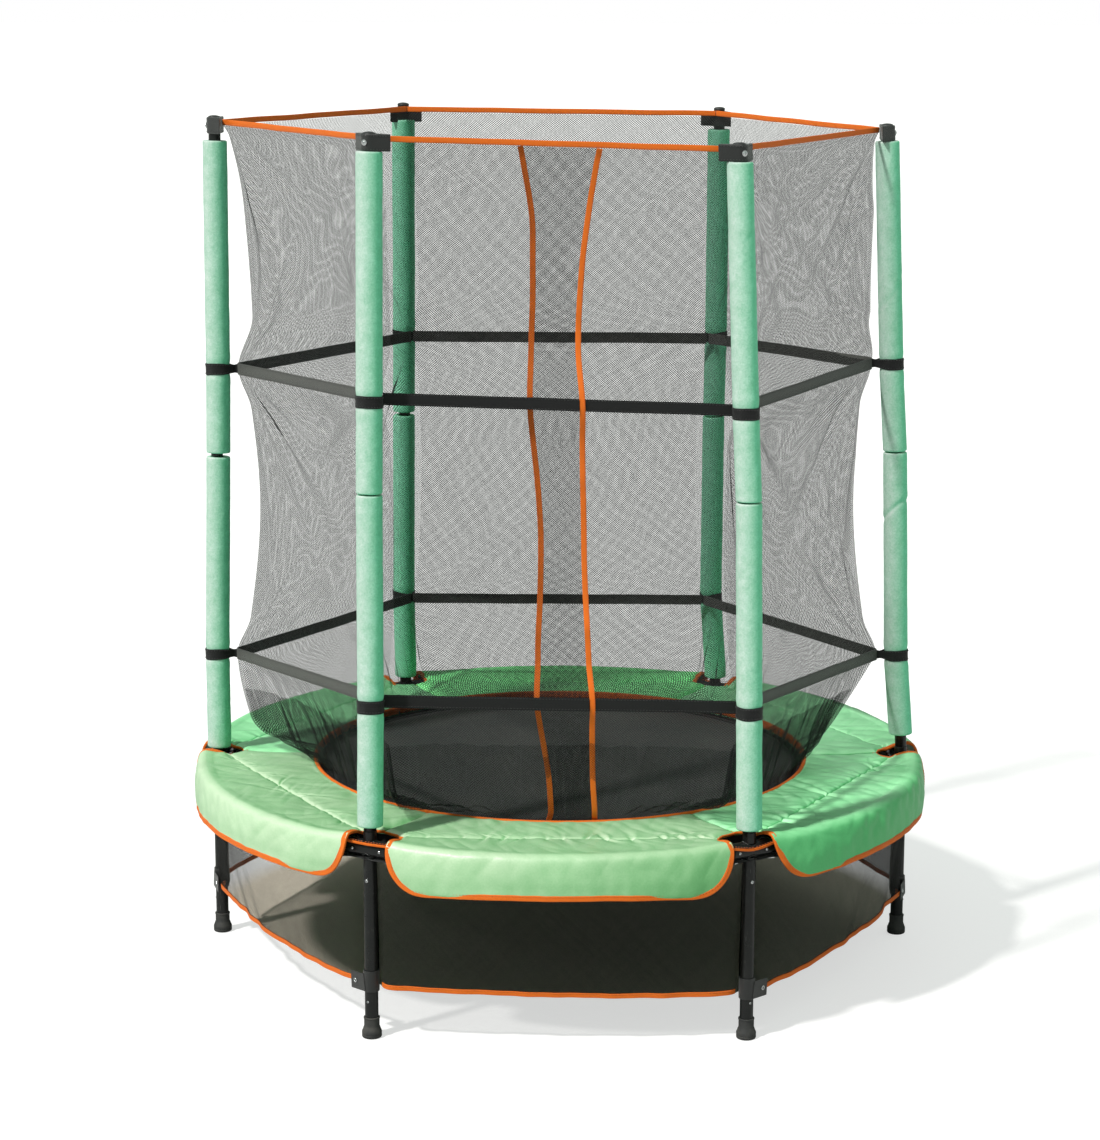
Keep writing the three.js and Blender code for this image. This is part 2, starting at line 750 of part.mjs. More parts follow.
bayNames.forEach((name, k) => {
  const bay = turnedGroup(bayAngle(k));
  add(bay, `rail_${name}`, railGeometry(), springSteel);
  add(bay, `pad_${name}`, padGeometry(), greenVinyl);
  if (name === 'front') {
    const outerShares = [...steps(0, doorInnerEdge, netColumns / 2), doorOuterEdge];
    const innerShares = [doorInnerEdge, ...steps(doorOuterEdge, 1, netColumns / 2)];
    add(bay, 'net_door_outer', netGeometry(outerShares, doorStandOff), blackNet);
    add(bay, 'net_door_inner', netGeometry(innerShares, 0), blackNet);
  } else {
    add(bay, `net_${name}`, netGeometry(steps(0, 1, netColumns), 0), blackNet);
  }
});

add(trampoline, 'mat', matGeometry(), blackMat);
add(trampoline, 'net_top_binding', topBinding(), orangeBinding);
add(trampoline, 'net_middle_band', webbingBand(midBandHeight), blackWeb);
add(trampoline, 'net_lower_band', webbingBand(lowBandHeight), blackWeb);
add(trampoline, 'skirt', skirtGeometry(), blackNet);

export default trampoline;
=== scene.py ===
"""A small round trampoline on six legs, with a padded cover, a skirt and a net on six padded poles."""
import math

import bmesh
import bpy
import numpy as np
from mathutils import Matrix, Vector, noise


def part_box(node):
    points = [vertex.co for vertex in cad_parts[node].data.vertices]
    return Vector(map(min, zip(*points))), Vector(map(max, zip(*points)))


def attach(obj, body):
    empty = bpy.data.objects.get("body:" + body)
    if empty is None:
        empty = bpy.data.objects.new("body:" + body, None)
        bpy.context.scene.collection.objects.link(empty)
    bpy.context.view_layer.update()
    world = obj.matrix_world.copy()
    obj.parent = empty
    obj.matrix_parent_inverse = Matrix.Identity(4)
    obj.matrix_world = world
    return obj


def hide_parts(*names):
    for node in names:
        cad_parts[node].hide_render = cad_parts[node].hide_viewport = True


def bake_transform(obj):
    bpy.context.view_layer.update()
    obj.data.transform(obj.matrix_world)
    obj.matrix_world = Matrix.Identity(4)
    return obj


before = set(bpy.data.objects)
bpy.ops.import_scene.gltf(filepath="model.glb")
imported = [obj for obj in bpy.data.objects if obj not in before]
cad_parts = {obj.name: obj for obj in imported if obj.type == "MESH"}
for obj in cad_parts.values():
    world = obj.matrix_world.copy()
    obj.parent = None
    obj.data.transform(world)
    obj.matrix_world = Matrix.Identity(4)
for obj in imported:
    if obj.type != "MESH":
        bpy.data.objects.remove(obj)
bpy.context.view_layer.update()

# ---------- names, directions and the sizes that the frame gives ----------

CORNERS = ("front_left", "front_right", "right", "back_right", "back_left", "left")
BAYS = ("front", "right_front", "right_back", "back", "left_back", "left_front")
SECTOR = math.tau / len(CORNERS)
HALF = SECTOR / 2
FIRST_CORNER = -math.pi / 2 - HALF


def corner_angle(k):
    """Direction of a corner, where a leg and a pole stand, from the middle."""
    return FIRST_CORNER + k * SECTOR


def bay_angle(k):
    """Direction of the middle of a bay, between corner k and the next one."""
    return corner_angle(k) + HALF


def middle(node):
    """The centre of a node's box."""
    low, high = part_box(node)
    return (low + high) / 2


FRAME_RADIUS = middle("foot_right").x
RING_HEIGHT = middle("rail_front").z
CAP = middle("pole_cap_right")
LEAN = math.atan((FRAME_RADIUS - CAP.x) / (CAP.z - RING_HEIGHT))
FOOT_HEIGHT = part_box("foot_right")[1].z
FOOT_RADIUS = (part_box("foot_right")[1].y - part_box("foot_right")[0].y) / 2
FOAM_RADIUS = (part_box("foam_lower_right")[1].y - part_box("foam_lower_right")[0].y) / 2
MAT_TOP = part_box("mat")[1].z
RING_REACH = 0.024                     # of a triangular ring beyond the mat
MAT_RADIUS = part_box("mat")[1].x - RING_REACH
PAD_INNER = -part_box("pad_front")[1].y / math.cos(HALF)
PAD_OUTER = -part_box("pad_front")[0].y
FLAP_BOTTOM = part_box("pad_front")[0].z
NET_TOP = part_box("net_back")[1].z
NET_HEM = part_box("net_back")[0].z
MIDDLE_BAND = middle("net_middle_band").z
LOWER_BAND = middle("net_lower_band").z
SKIRT_LOW, SKIRT_HIGH = (corner.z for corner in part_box("skirt"))

RING_TUBE = 0.0125                     # radii of the tubes
SOCKET = 0.0145
SOCKET_LENGTH = 0.078
LEG = 0.012
POLE = 0.01125
STUB_RISE = 0.032                      # of the leg's stub above the ring's centre line
SPRING_COUNT = 36
MM = 0.001


def unit(vectors):
    return vectors / np.maximum(np.linalg.norm(vectors, axis=-1, keepdims=True), 1e-12)


def polar(radius, angle, height):
    """Points at a distance from the middle, a direction and a height."""
    radius, angle, height = np.broadcast_arrays(radius, angle, height)
    return np.stack([radius * np.cos(angle), radius * np.sin(angle), height], -1)


def pole_distance(height):
    """How far a pole's axis is from the middle at a height; it leans inward as it rises."""
    return FRAME_RADIUS - (height - RING_HEIGHT) * math.tan(LEAN)


def along_pole(height):
    """A height as a place along a pole's axis, from the ring's centre line."""
    return (height - RING_HEIGHT) / math.cos(LEAN)


def turned(points, angle):
    """Points turned about the upright axis through the middle."""
    c, s = math.cos(angle), math.sin(angle)
    return points @ np.array([[c, s, 0], [-s, c, 0], [0, 0, 1]])


def at_corner(points, k):
    """Points drawn about an upright axis, set on a corner of the ring; x is outward, z from the floor."""
    return turned(points + np.array([FRAME_RADIUS, 0, 0]), corner_angle(k))


def on_pole(points, k):
    """Points drawn about a pole's own axis, with z along it from the ring's centre line."""
    c, s = math.cos(LEAN), math.sin(LEAN)
    leaning = points @ np.array([[c, 0, s], [0, 1, 0], [-s, 0, c]])
    return at_corner(leaning + np.array([0, 0, RING_HEIGHT]), k)


SWAY_LEVELS = (0.40, 0.572, 0.95, 1.124, 1.59)
# sideways and upward shift, in millimetres, of each pole and its net corner at the levels above
SWAY = (((0, 0), (0, 35), (-5, 18), (-6, 13), (-9, 1)), ((0, 0), (0, 25), (0, 6), (-5, -6), (-16, -15)),
        ((0, 0), (-9, -8), (-9, 3), (-16, 8), (-22, -9)), ((0, 0), (-9, -19), (-3, -14), (2, -11), (9, -3)),
        ((0, 0), (-5, -17), (-7, -11), (-8, -9), (-12, 4)), ((0, 0), (-5, -10), (-7, -8), (-9, -7), (-20, 2)))


def swayed(points):
    """Lets the poles and the net lean and sag a little, each corner in its own way; the ring stays true."""
    points = np.array(points, float)
    high = points[:, 2] > SWAY_LEVELS[0]
    if not high.any():
        return points
    moved = points[high]
    turn = (np.arctan2(moved[:, 1], moved[:, 0]) - FIRST_CORNER) % math.tau
    k = np.minimum((turn / SECTOR).astype(int), len(CORNERS) - 1)
    share = 0.5 + np.tan(turn - k * SECTOR - HALF) / (2 * math.tan(HALF))
    shift = np.array([[np.interp(moved[:, 2], SWAY_LEVELS, [level[axis] for level in corner])
                       for axis in (0, 1)] for corner in SWAY]) * MM
    row = np.arange(len(moved))
    both = shift[k, :, row] * (1 - share)[:, None] + shift[(k + 1) % len(CORNERS), :, row] * share[:, None]
    moved[:, 0] += both[:, 0]
    moved[:, 2] += both[:, 1]
    points[high] = moved
    return points


def eased(at, stations, values):
    """Values at chosen stations, joined by a curve that doesn't overshoot them."""
    x, y = np.asarray(stations, float), np.asarray(values, float)
    step = np.diff(x)
    slope = np.diff(y) / step
    before, after = slope[:-1], slope[1:]
    both = np.where(before + after == 0, 1, before + after)
    inner = np.where(before * after > 0, 2 * before * after / both, 0)
    tangent = np.concatenate([slope[:1], inner, slope[-1:]])
    at = np.asarray(at, float)
    k = np.clip(np.searchsorted(x, at, side="right") - 1, 0, len(x) - 2)
    t = np.clip((at - x[k]) / step[k], 0, 1)
    return ((2 * t**3 - 3 * t**2 + 1) * y[k] + (t**3 - 2 * t**2 + t) * step[k] * tangent[k]
            + (3 * t**2 - 2 * t**3) * y[k + 1] + (t**3 - t**2) * step[k] * tangent[k + 1])


def bump(at, centre, width):
    """A smooth hump that is 1 at its centre and almost gone two widths away."""
    return np.exp(-((at - centre) / width) ** 2)


def rough(points, scale, seed=0.0):
    """Smooth noise from -1 to 1 at each point; scale is a number, or one for each direction."""
    points = np.asarray(points, float) * np.asarray(scale, float)
    flat = points.reshape(-1, points.shape[-1])
    if flat.shape[1] == 2:
        flat = np.column_stack([flat, np.zeros(len(flat))])
    shift = Vector((seed * 7.31, seed * 3.17, seed * 5.73))
    values = [noise.noise(Vector(point) + shift) for point in flat.tolist()]
    return np.array(values).reshape(points.shape[:-1])


# ---------- making meshes ----------

def grid_faces(rows, columns, wrap_rows=False, wrap_columns=False):
    """Quads between points that are listed row by row."""
    row, column = np.meshgrid(np.arange(rows if wrap_rows else rows - 1),
                              np.arange(columns if wrap_columns else columns - 1), indexing="ij")
    below, beside = (row + 1) % rows, (column + 1) % columns
    row, below = row * columns, below * columns
    corners = [row + column, row + beside, below + beside, below + column]
    return np.stack(corners, -1).reshape(-1, 4).tolist()


def run_lengths(path):
    """How far along a path each of its points is."""
    return np.concatenate([[0], np.cumsum(np.linalg.norm(np.diff(path, axis=0), axis=1))])


def read_off(rows, run, at):
    """The rows' values at chosen places along their run."""
    return np.stack([np.interp(at, run, column) for column in rows.T], -1)


SHARP_EDGE = math.radians(42)


class Piece:
    """One mesh in the making: its points, faces, finishes and cloth coordinates in metres."""

    def __init__(self):
        self.points, self.cloth, self.faces, self.finish = [], [], [], []
        self.count = 0

    def add(self, points, faces, cloth=None, finish=0):
        points = np.asarray(points, float).reshape(-1, 3)
        cloth = points[:, :2] if cloth is None else np.asarray(cloth, float).reshape(-1, 2)
        self.points.append(points)
        self.cloth.append(cloth)
        self.faces += [[self.count + corner for corner in face] for face in faces]
        self.finish += [finish] * len(faces)
        self.count += len(points)
        return self

    def sheet(self, points, cloth=None, wrap_columns=False):
        """A surface through rows of points."""
        rows, columns = points.shape[:2]
        return self.add(points, grid_faces(rows, columns, wrap_columns=wrap_columns), cloth)

    def lathe(self, profile, sides=48, place=None, pipe=False):
        """A solid of revolution about Z from (radius, height) points; place moves its points.
        It has flat ends, or as a pipe its profile closes on itself."""
        profile = np.asarray(profile, float)
        angle = np.linspace(0, math.tau, sides, endpoint=False)
        points = polar(profile[:, :1], angle[None], profile[:, 1:]).reshape(-1, 3)
        faces = grid_faces(len(profile), sides, wrap_rows=pipe, wrap_columns=True)
        if not pipe:
            faces += [list(range(sides))[::-1], list(range((len(profile) - 1) * sides, len(profile) * sides))]
        cloth = np.stack(np.broadcast_arrays(angle[None] * profile.max(0)[0], profile[:, 1:]), -1)
        return self.add(points if place is None else place(points), faces, cloth)

    def sweep(self, path, section, up, closed=False):
        """Carries a closed section of (side, up) points along a path; up may differ from point to point."""
        path, section = np.asarray(path, float), np.asarray(section, float)
        up = np.broadcast_to(np.asarray(up, float), path.shape)
        ahead = np.roll(path, -1, 0) - np.roll(path, 1, 0) if closed else np.gradient(path, axis=0)
        ahead = unit(ahead)
        side = unit(np.cross(ahead, up))
        top = np.cross(side, ahead)
        section = np.broadcast_to(section, (len(path),) + section.shape[-2:])
        points = path[:, None] + section[..., :1] * side[:, None] + section[..., 1:] * top[:, None]
        count = section.shape[1]
        faces = grid_faces(len(path), count, wrap_rows=closed, wrap_columns=True)
        if not closed:
            faces += [list(range(count))[::-1], list(range((len(path) - 1) * count, len(path) * count))]
        edge = run_lengths(section[0])
        cloth = np.stack(np.broadcast_arrays(run_lengths(path)[:, None], edge[None]), -1)
        return self.add(points, faces, cloth)

    def make(self, name, finishes, slot, body="frame", replaces=""):
        """The finished piece, smooth but for its sharp edges, with its body and replaced node; the slot is
        not used.
        """
        mesh = bpy.data.meshes.new(name)
        mesh.from_pydata(swayed(np.concatenate(self.points)).tolist(), [], self.faces)
        for finish in finishes if isinstance(finishes, (list, tuple)) else [finishes]:
            mesh.materials.append(finish)
        mesh.polygons.foreach_set("material_index", self.finish)
        mesh.polygons.foreach_set("use_smooth", [True] * len(self.faces))
        corners = np.empty(len(mesh.loops), np.int32)
        mesh.loops.foreach_get("vertex_index", corners)
        mesh.uv_layers.new(name="cloth").data.foreach_set("uv", np.concatenate(self.cloth)[corners].ravel())
        mesh.update()
        piece = bpy.data.objects.new(name, mesh)
        bpy.context.scene.collection.objects.link(piece)
        face_out(piece)
        mesh.set_sharp_from_angle(angle=SHARP_EDGE)
        if replaces:
            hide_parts(replaces)
        if body:
            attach(piece, body)
        return piece


def face_out(piece):
    """Turns every face outward."""
    shape = bmesh.new()
    shape.from_mesh(piece.data)
    bmesh.ops.recalc_face_normals(shape, faces=shape.faces)
    shape.to_mesh(piece.data)
    shape.free()


def circle(radius, points=16):
    angle = np.linspace(0, math.tau, points, endpoint=False)
    return np.stack([radius * np.cos(angle), radius * np.sin(angle)], -1)


def rounded(width, height, points=16, power=4):
    """A rounded rectangle, as the section of a tape or strap."""
    c, s = circle(1, points).T
    return np.stack([np.sign(c) * np.abs(c) ** (2 / power) * width / 2,
                     np.sign(s) * np.abs(s) ** (2 / power) * height / 2], -1)


def stitches(piece, path, out, length=3.2 * MM, gap=2.2 * MM, width=0.8 * MM):
    """A row of thread stitches that lie on a surface along a path; out is the surface's outward direction."""
    path = np.asarray(path, float)
    out = np.broadcast_to(np.asarray(out, float), path.shape)
    run = run_lengths(path)
    shape = np.array([[-0.5, -0.4], [-0.3, 0.7], [0.3, 0.7], [0.5, -0.4]])
    for start in np.arange(gap, run[-1] - length, length + gap):
        at = np.array([start, start + length * 0.2, start + length * 0.8, start + length])
        size = np.array([0.5, 1, 1, 0.5])[:, None, None]
        piece.sweep(read_off(path, run, at), shape[None] * width * size, unit(read_off(out, run, at)))
    return piece


# ---------- shared effects, as node groups ----------

def put(tree, kind, inputs=None, **settings):
    """Adds a node. Its inputs, by name or number, are sockets of other nodes or plain values."""
    node = tree.nodes.new("ShaderNode" + kind)
    for name, value in settings.items():
        setattr(node, name, value)
    for name, value in (inputs or {}).items():
        if isinstance(value, bpy.types.NodeSocket):
            tree.links.new(value, node.inputs[name])
        else:
            node.inputs[name].default_value = value
    return node


def reckon(tree, operation, *values):
    return put(tree, "Math", dict(enumerate(values)), operation=operation).outputs[0]


def blend_colour(tree, factor, first, second):
    node = put(tree, "Mix", {0: factor, 6: first, 7: second}, data_type="RGBA")
    return node.outputs[2]


def spread(tree, value, low, high, out_low=0.0, out_high=1.0):
    """Maps a value's range onto another, clamped."""
    return put(tree, "MapRange", {0: value, 1: low, 2: high, 3: out_low, 4: out_high}).outputs[0]


def effect(name, inputs, outputs):
    """An empty node group with named float inputs, a Vector input and float outputs."""
    tree = bpy.data.node_groups.new(name, "ShaderNodeTree")
    tree.interface.new_socket("Vector", in_out="INPUT", socket_type="NodeSocketVector")
    for label, value in inputs.items():
        tree.interface.new_socket(label, in_out="INPUT", socket_type="NodeSocketFloat").default_value = value
    for label in outputs:
        tree.interface.new_socket(label, in_out="OUTPUT", socket_type="NodeSocketFloat")
    return tree, tree.nodes.new("NodeGroupInput").outputs, tree.nodes.new("NodeGroupOutput").inputs


def plain_weave():
    """Flat threads over and under each other: Height, and Tone, which varies from thread to thread."""
    tree, given, result = effect("plain_weave", {"Across": MM, "Along": MM}, ("Height", "Tone"))
    place = put(tree, "SeparateXYZ", {0: given["Vector"]})
    u = reckon(tree, "DIVIDE", place.outputs[0], given["Across"])
    v = reckon(tree, "DIVIDE", place.outputs[1], given["Along"])
    column, row = reckon(tree, "FLOOR", u), reckon(tree, "FLOOR", v)
    over = reckon(tree, "FLOORED_MODULO", reckon(tree, "ADD", column, row), 2.0)
    ridge = [reckon(tree, "ABSOLUTE", reckon(tree, "SINE", reckon(tree, "MULTIPLY", at, math.pi)))
             for at in (u, v)]
    upper = reckon(tree, "MULTIPLY", ridge[0], over)
    lower = reckon(tree, "MULTIPLY", ridge[1], reckon(tree, "SUBTRACT", 1.0, over))
    tree.links.new(reckon(tree, "ADD", upper, lower), result["Height"])
    cell = put(tree, "CombineXYZ", {0: column, 1: row})
    tree.links.new(put(tree, "TexWhiteNoise", {0: cell.outputs[0]}).outputs["Value"], result["Tone"])
    return tree


def knitted_net():
    """Crossing threads with open holes between them: Cover is 1 on a thread, and Height is its round top."""
    sizes = {"Cell": 2 * MM, "Slant": 1.0, "Thread": 0.2}
    tree, given, result = effect("knitted_net", sizes, ("Cover", "Height"))
    place = put(tree, "SeparateXYZ", {0: given["Vector"]})
    u = reckon(tree, "DIVIDE", place.outputs[0], given["Cell"])
    v = reckon(tree, "DIVIDE", place.outputs[1], given["Cell"])
    slanted = reckon(tree, "MULTIPLY", u, given["Slant"])
    ways = (reckon(tree, "ADD", v, slanted), reckon(tree, "SUBTRACT", v, slanted))
    covers, tops = [], []
    for way in ways:
        off = reckon(tree, "ABSOLUTE", reckon(tree, "SUBTRACT", reckon(tree, "FRACT", way), 0.5))
        strand = put(tree, "TexWhiteNoise", {"W": reckon(tree, "FLOOR", way)}, noise_dimensions="1D")
        uneven = spread(tree, strand.outputs["Value"], 0.0, 1.0, 0.45, 0.55)
        share = reckon(tree, "DIVIDE", off, reckon(tree, "MULTIPLY", given["Thread"], uneven))
        covers.append(reckon(tree, "LESS_THAN", share, 1.0))
        tops.append(spread(tree, share, 1.0, 0.0))
    tree.links.new(reckon(tree, "MAXIMUM", *covers), result["Cover"])
    tree.links.new(reckon(tree, "MAXIMUM", *tops), result["Height"])
    return tree


def mottle():
    """Uneven tone in large soft patches and fine grains, and the grains' Height."""
    tree, given, result = effect("mottle", {"Patches": 20.0, "Grains": 600.0}, ("Tone", "Height"))
    patches = put(tree, "TexNoise", {"Vector": given["Vector"], "Scale": given["Patches"], "Detail": 3.0})
    grains = put(tree, "TexNoise", {"Vector": given["Vector"], "Scale": given["Grains"], "Detail": 2.0})
    fine = grains.outputs[0]
    tone = reckon(tree, "ADD", reckon(tree, "MULTIPLY", patches.outputs[0], 0.45),
                  reckon(tree, "MULTIPLY", fine, 0.55))
    tree.links.new(spread(tree, tone, 0.3, 0.7), result["Tone"])
    tree.links.new(fine, result["Height"])
    return tree


def wear():
    """Dust lies on what faces up, and Scuffs are short pale scratches."""
    tree, given, result = effect("wear", {"Scale": 30.0, "Dust": 0.3, "Scuffs": 0.2}, ("Dust", "Scuffs"))
    cloud = put(tree, "TexNoise", {"Vector": given["Vector"], "Scale": given["Scale"], "Detail": 6.0})
    facing = put(tree, "SeparateXYZ", {0: put(tree, "NewGeometry").outputs["Normal"]}).outputs[2]
    lying = spread(tree, facing, -0.2, 0.9, 0.25, 1.0)
    dust = reckon(tree, "MULTIPLY", spread(tree, cloud.outputs[0], 0.4, 0.75), lying)
    tree.links.new(reckon(tree, "MULTIPLY", dust, given["Dust"]), result["Dust"])
    drawn = put(tree, "Mapping", {"Vector": given["Vector"], "Scale": (1.0, 1.0, 0.08)})
    lines = put(tree, "TexNoise", {"Vector": drawn.outputs[0], "Scale": 900.0, "Detail": 1.0})
    where = spread(tree, cloud.outputs[0], 0.52, 0.6)
    scuffs = reckon(tree, "MULTIPLY", spread(tree, lines.outputs[0], 0.66, 0.72), where)
    tree.links.new(reckon(tree, "MULTIPLY", scuffs, given["Scuffs"]), result["Scuffs"])
    return tree


# painted sun and shade: faces turned this way, toward the sun, take a lighter colour
SUN_SIDE = (-0.6, -0.5, 0.62)          # up, and to the front left


def sun_facing():
    """How far a face looks toward the sun, for painted sun and shade."""
    tree, unused, result = effect("sun_facing", {}, ("Amount",))
    facing = put(tree, "VectorMath", {0: put(tree, "NewGeometry").outputs["Normal"], 1: SUN_SIDE},
                 operation="DOT_PRODUCT").outputs["Value"]
    tree.links.new(spread(tree, facing, 0.0, 1.0), result["Amount"])
    return tree


WEAVE, NET, MOTTLE, WEAR, SUN_FACING = plain_weave(), knitted_net(), mottle(), wear(), sun_facing()


class Finish:
    """A material in the making, round its Principled shader."""

    def __init__(self, name, colour, roughness, metallic=0.0, **values):
        self.material = bpy.data.materials.new(name)
        self.material.use_nodes = True
        self.tree = self.material.node_tree
        self.shader = self.tree.nodes["Principled BSDF"]
        self.colour = (*colour, 1.0)
        self.shader.inputs["Base Color"].default_value = self.colour
        self.shader.inputs["Roughness"].default_value = roughness
        self.shader.inputs["Metallic"].default_value = metallic
        for label, value in values.items():
            self.shader.inputs[label.replace("_", " ")].default_value = value

    def solid_place(self):
        """Coordinates in metres through the piece's body."""
        return put(self.tree, "TexCoord").outputs["Object"]

    def cloth_place(self):
        """Coordinates in metres along and across the cloth."""
        return put(self.tree, "UVMap", uv_map="cloth").outputs[0]

    def use(self, group, place, **values):
        """Places a shared effect with its own values, and gives its outputs."""
        node = self.tree.nodes.new("ShaderNodeGroup")
        node.node_tree = group
        self.tree.links.new(place, node.inputs["Vector"])
        for label, value in values.items():
            node.inputs[label].default_value = value
        return node.outputs

    def tint(self, factor, colour, amount=1.0):
        """Mixes another colour into the base, as much as the factor says."""
        base = self.shader.inputs["Base Color"]
        first = base.links[0].from_socket if base.links else self.colour
        if amount != 1.0:
            factor = reckon(self.tree, "MULTIPLY", factor, amount)
        self.tree.links.new(blend_colour(self.tree, factor, first, (*colour, 1.0)), base)
        return self

    def painted_sun_and_shade(self, deep, pale, power=1.0):
        """Paints sun and shade: multiplies the base by one colour on faces turned from the sun, and by
        another on faces turned toward it.
        """
        amount = reckon(self.tree, "POWER", self.use(SUN_FACING, self.solid_place())["Amount"], power)
        base = self.shader.inputs["Base Color"]
        change = blend_colour(self.tree, amount, (*deep, 1.0), (*pale, 1.0))
        node = put(self.tree, "Mix", {0: 1.0, 6: base.links[0].from_socket, 7: change}, data_type="RGBA",
                   blend_type="MULTIPLY")
        self.tree.links.new(node.outputs[2], base)
        return self

    def gloss(self, value, low, high):
        """Roughness from low to high with the value."""
        self.tree.links.new(spread(self.tree, value, 0.0, 1.0, low, high), self.shader.inputs["Roughness"])
        return self

    def relief(self, height, depth, strength=1.0):
        """Adds a bump of a depth in metres on top of the earlier ones."""
        node = put(self.tree, "Bump", {"Height": height, "Distance": depth, "Strength": strength})
        normal = self.shader.inputs["Normal"]
        if normal.links:
            self.tree.links.new(normal.links[0].from_socket, node.inputs["Normal"])
        self.tree.links.new(node.outputs[0], normal)
        return self

    def holes(self, cover):
        """Leaves the surface open where the cover is 0."""
        self.tree.links.new(cover, self.shader.inputs["Alpha"])
        return self


DUST = (0.16, 0.15, 0.13)


def painted_steel(name, coat, specular):
    made = Finish(name, (0.004, 0.005, 0.005), 0.3, Coat_Weight=coat, Coat_Roughness=0.1,
                  Specular_IOR_Level=specular)
    place = made.solid_place()
    peel = made.use(MOTTLE, place, Patches=35.0, Grains=420.0)
    marks = made.use(WEAR, place, Scale=28.0, Dust=0.12, Scuffs=0.3)
    made.tint(peel["Tone"], (0.009, 0.01, 0.01), 0.6).tint(marks["Dust"], DUST, 0.5)
    made.tint(marks["Scuffs"], (0.2, 0.2, 0.19))
    return made.gloss(peel["Tone"], 0.24, 0.42).relief(peel["Height"], 0.12 * MM).material


def zinc_wire():
    made = Finish("zinc_plated_wire", (0.5, 0.51, 0.52), 0.36, 1.0)
    place = made.solid_place()
    grain = made.use(MOTTLE, place, Patches=90.0, Grains=1500.0)
    marks = made.use(WEAR, place, Scale=60.0, Dust=0.3, Scuffs=0.1)
    made.tint(grain["Tone"], (0.3, 0.31, 0.33), 0.7).tint(marks["Dust"], (0.2, 0.17, 0.13))
    return made.gloss(grain["Tone"], 0.3, 0.5).relief(grain["Height"], 0.05 * MM).material


def chrome():
    made = Finish("bright_screw", (0.72, 0.73, 0.75), 0.18, 1.0)
    grain = made.use(MOTTLE, made.solid_place(), Patches=200.0, Grains=3000.0)
    return made.gloss(grain["Tone"], 0.12, 0.3).tint(grain["Tone"], (0.5, 0.5, 0.5), 0.4).material


def moulded(name, colour, roughness, grain_depth, dust):
    made = Finish(name, colour, roughness)
    place = made.solid_place()
    grain = made.use(MOTTLE, place, Patches=40.0, Grains=900.0)
    marks = made.use(WEAR, place, Scale=45.0, Dust=dust, Scuffs=0.1)
    made.tint(grain["Tone"], tuple(1.9 * part for part in colour), 0.7).tint(marks["Dust"], DUST)
    made.gloss(grain["Tone"], roughness - 0.08, roughness + 0.1)
    return made.relief(grain["Height"], grain_depth).material


# deep and pale multiply the base on faces turned from and toward the sun: painted shade and painted sunlight
def foam_skin(name, deep, pale):
    made = Finish(name, (0.24, 0.62, 0.38), 0.55, Specular_IOR_Level=0.6)
    place = made.solid_place()
    cells = made.use(MOTTLE, place, Patches=55.0, Grains=330.0)
    fine = made.use(MOTTLE, place, Patches=150.0, Grains=1300.0)
    marks = made.use(WEAR, place, Scale=12.0, Dust=0.12, Scuffs=0.0)
    made.tint(cells["Tone"], (0.52, 0.88, 0.68), 0.8).tint(fine["Tone"], (0.14, 0.46, 0.28), 0.4)
    made.tint(marks["Dust"], (0.35, 0.4, 0.3)).painted_sun_and_shade(deep, pale)
    made.gloss(cells["Tone"], 0.5, 0.72)
    return made.relief(cells["Height"], 0.5 * MM).relief(fine["Height"], 0.2 * MM).material


# deep and pale multiply the base on faces turned from and toward the sun: painted shade and painted sunlight
def coated_cloth(name, deep, pale):
    made = Finish(name, (0.27, 0.64, 0.265), 0.42, Coat_Weight=0.15, Coat_Roughness=0.4,
                  Specular_IOR_Level=0.4)
    scrim = made.use(WEAVE, made.cloth_place(), Across=2.6 * MM, Along=2.6 * MM)
    soft = made.use(MOTTLE, made.solid_place(), Patches=16.0, Grains=260.0)
    marks = made.use(WEAR, made.solid_place(), Scale=9.0, Dust=0.12, Scuffs=0.0)
    made.tint(soft["Tone"], (0.32, 0.7, 0.31), 0.6).tint(scrim["Tone"], (0.19, 0.55, 0.2), 0.2)
    made.tint(marks["Dust"], (0.36, 0.42, 0.3)).painted_sun_and_shade(deep, pale, 1.6)
    made.gloss(soft["Tone"], 0.33, 0.5)
    return made.relief(scrim["Height"], 0.05 * MM).relief(soft["Height"], 0.35 * MM).material


def woven_tape(name, colour, pale, across, along, roughness, depth=0.25 * MM, sheen=0.2, specular=0.5):
    made = Finish(name, colour, roughness, Sheen_Weight=sheen, Sheen_Roughness=0.5,
                  Specular_IOR_Level=specular)
    weave = made.use(WEAVE, made.cloth_place(), Across=across, Along=along)
    soft = made.use(MOTTLE, made.solid_place(), Patches=25.0, Grains=700.0)
    made.tint(weave["Tone"], pale, 0.3).tint(soft["Tone"], tuple(0.7 * part for part in colour), 0.35)
    made.gloss(weave["Tone"], roughness - 0.08, roughness + 0.08)
    return made.relief(weave["Height"], depth).relief(soft["Height"], 0.08 * MM).material


THREAD_COVER, HOLE_COVER = 0.88, 0.12   # shares of the light that a thread and the fuzz in a hole hold back
EDGE_ON_COVER, EDGE_ON_POWER = 0.85, 3.5    # how the cloth closes where it is seen edge-on


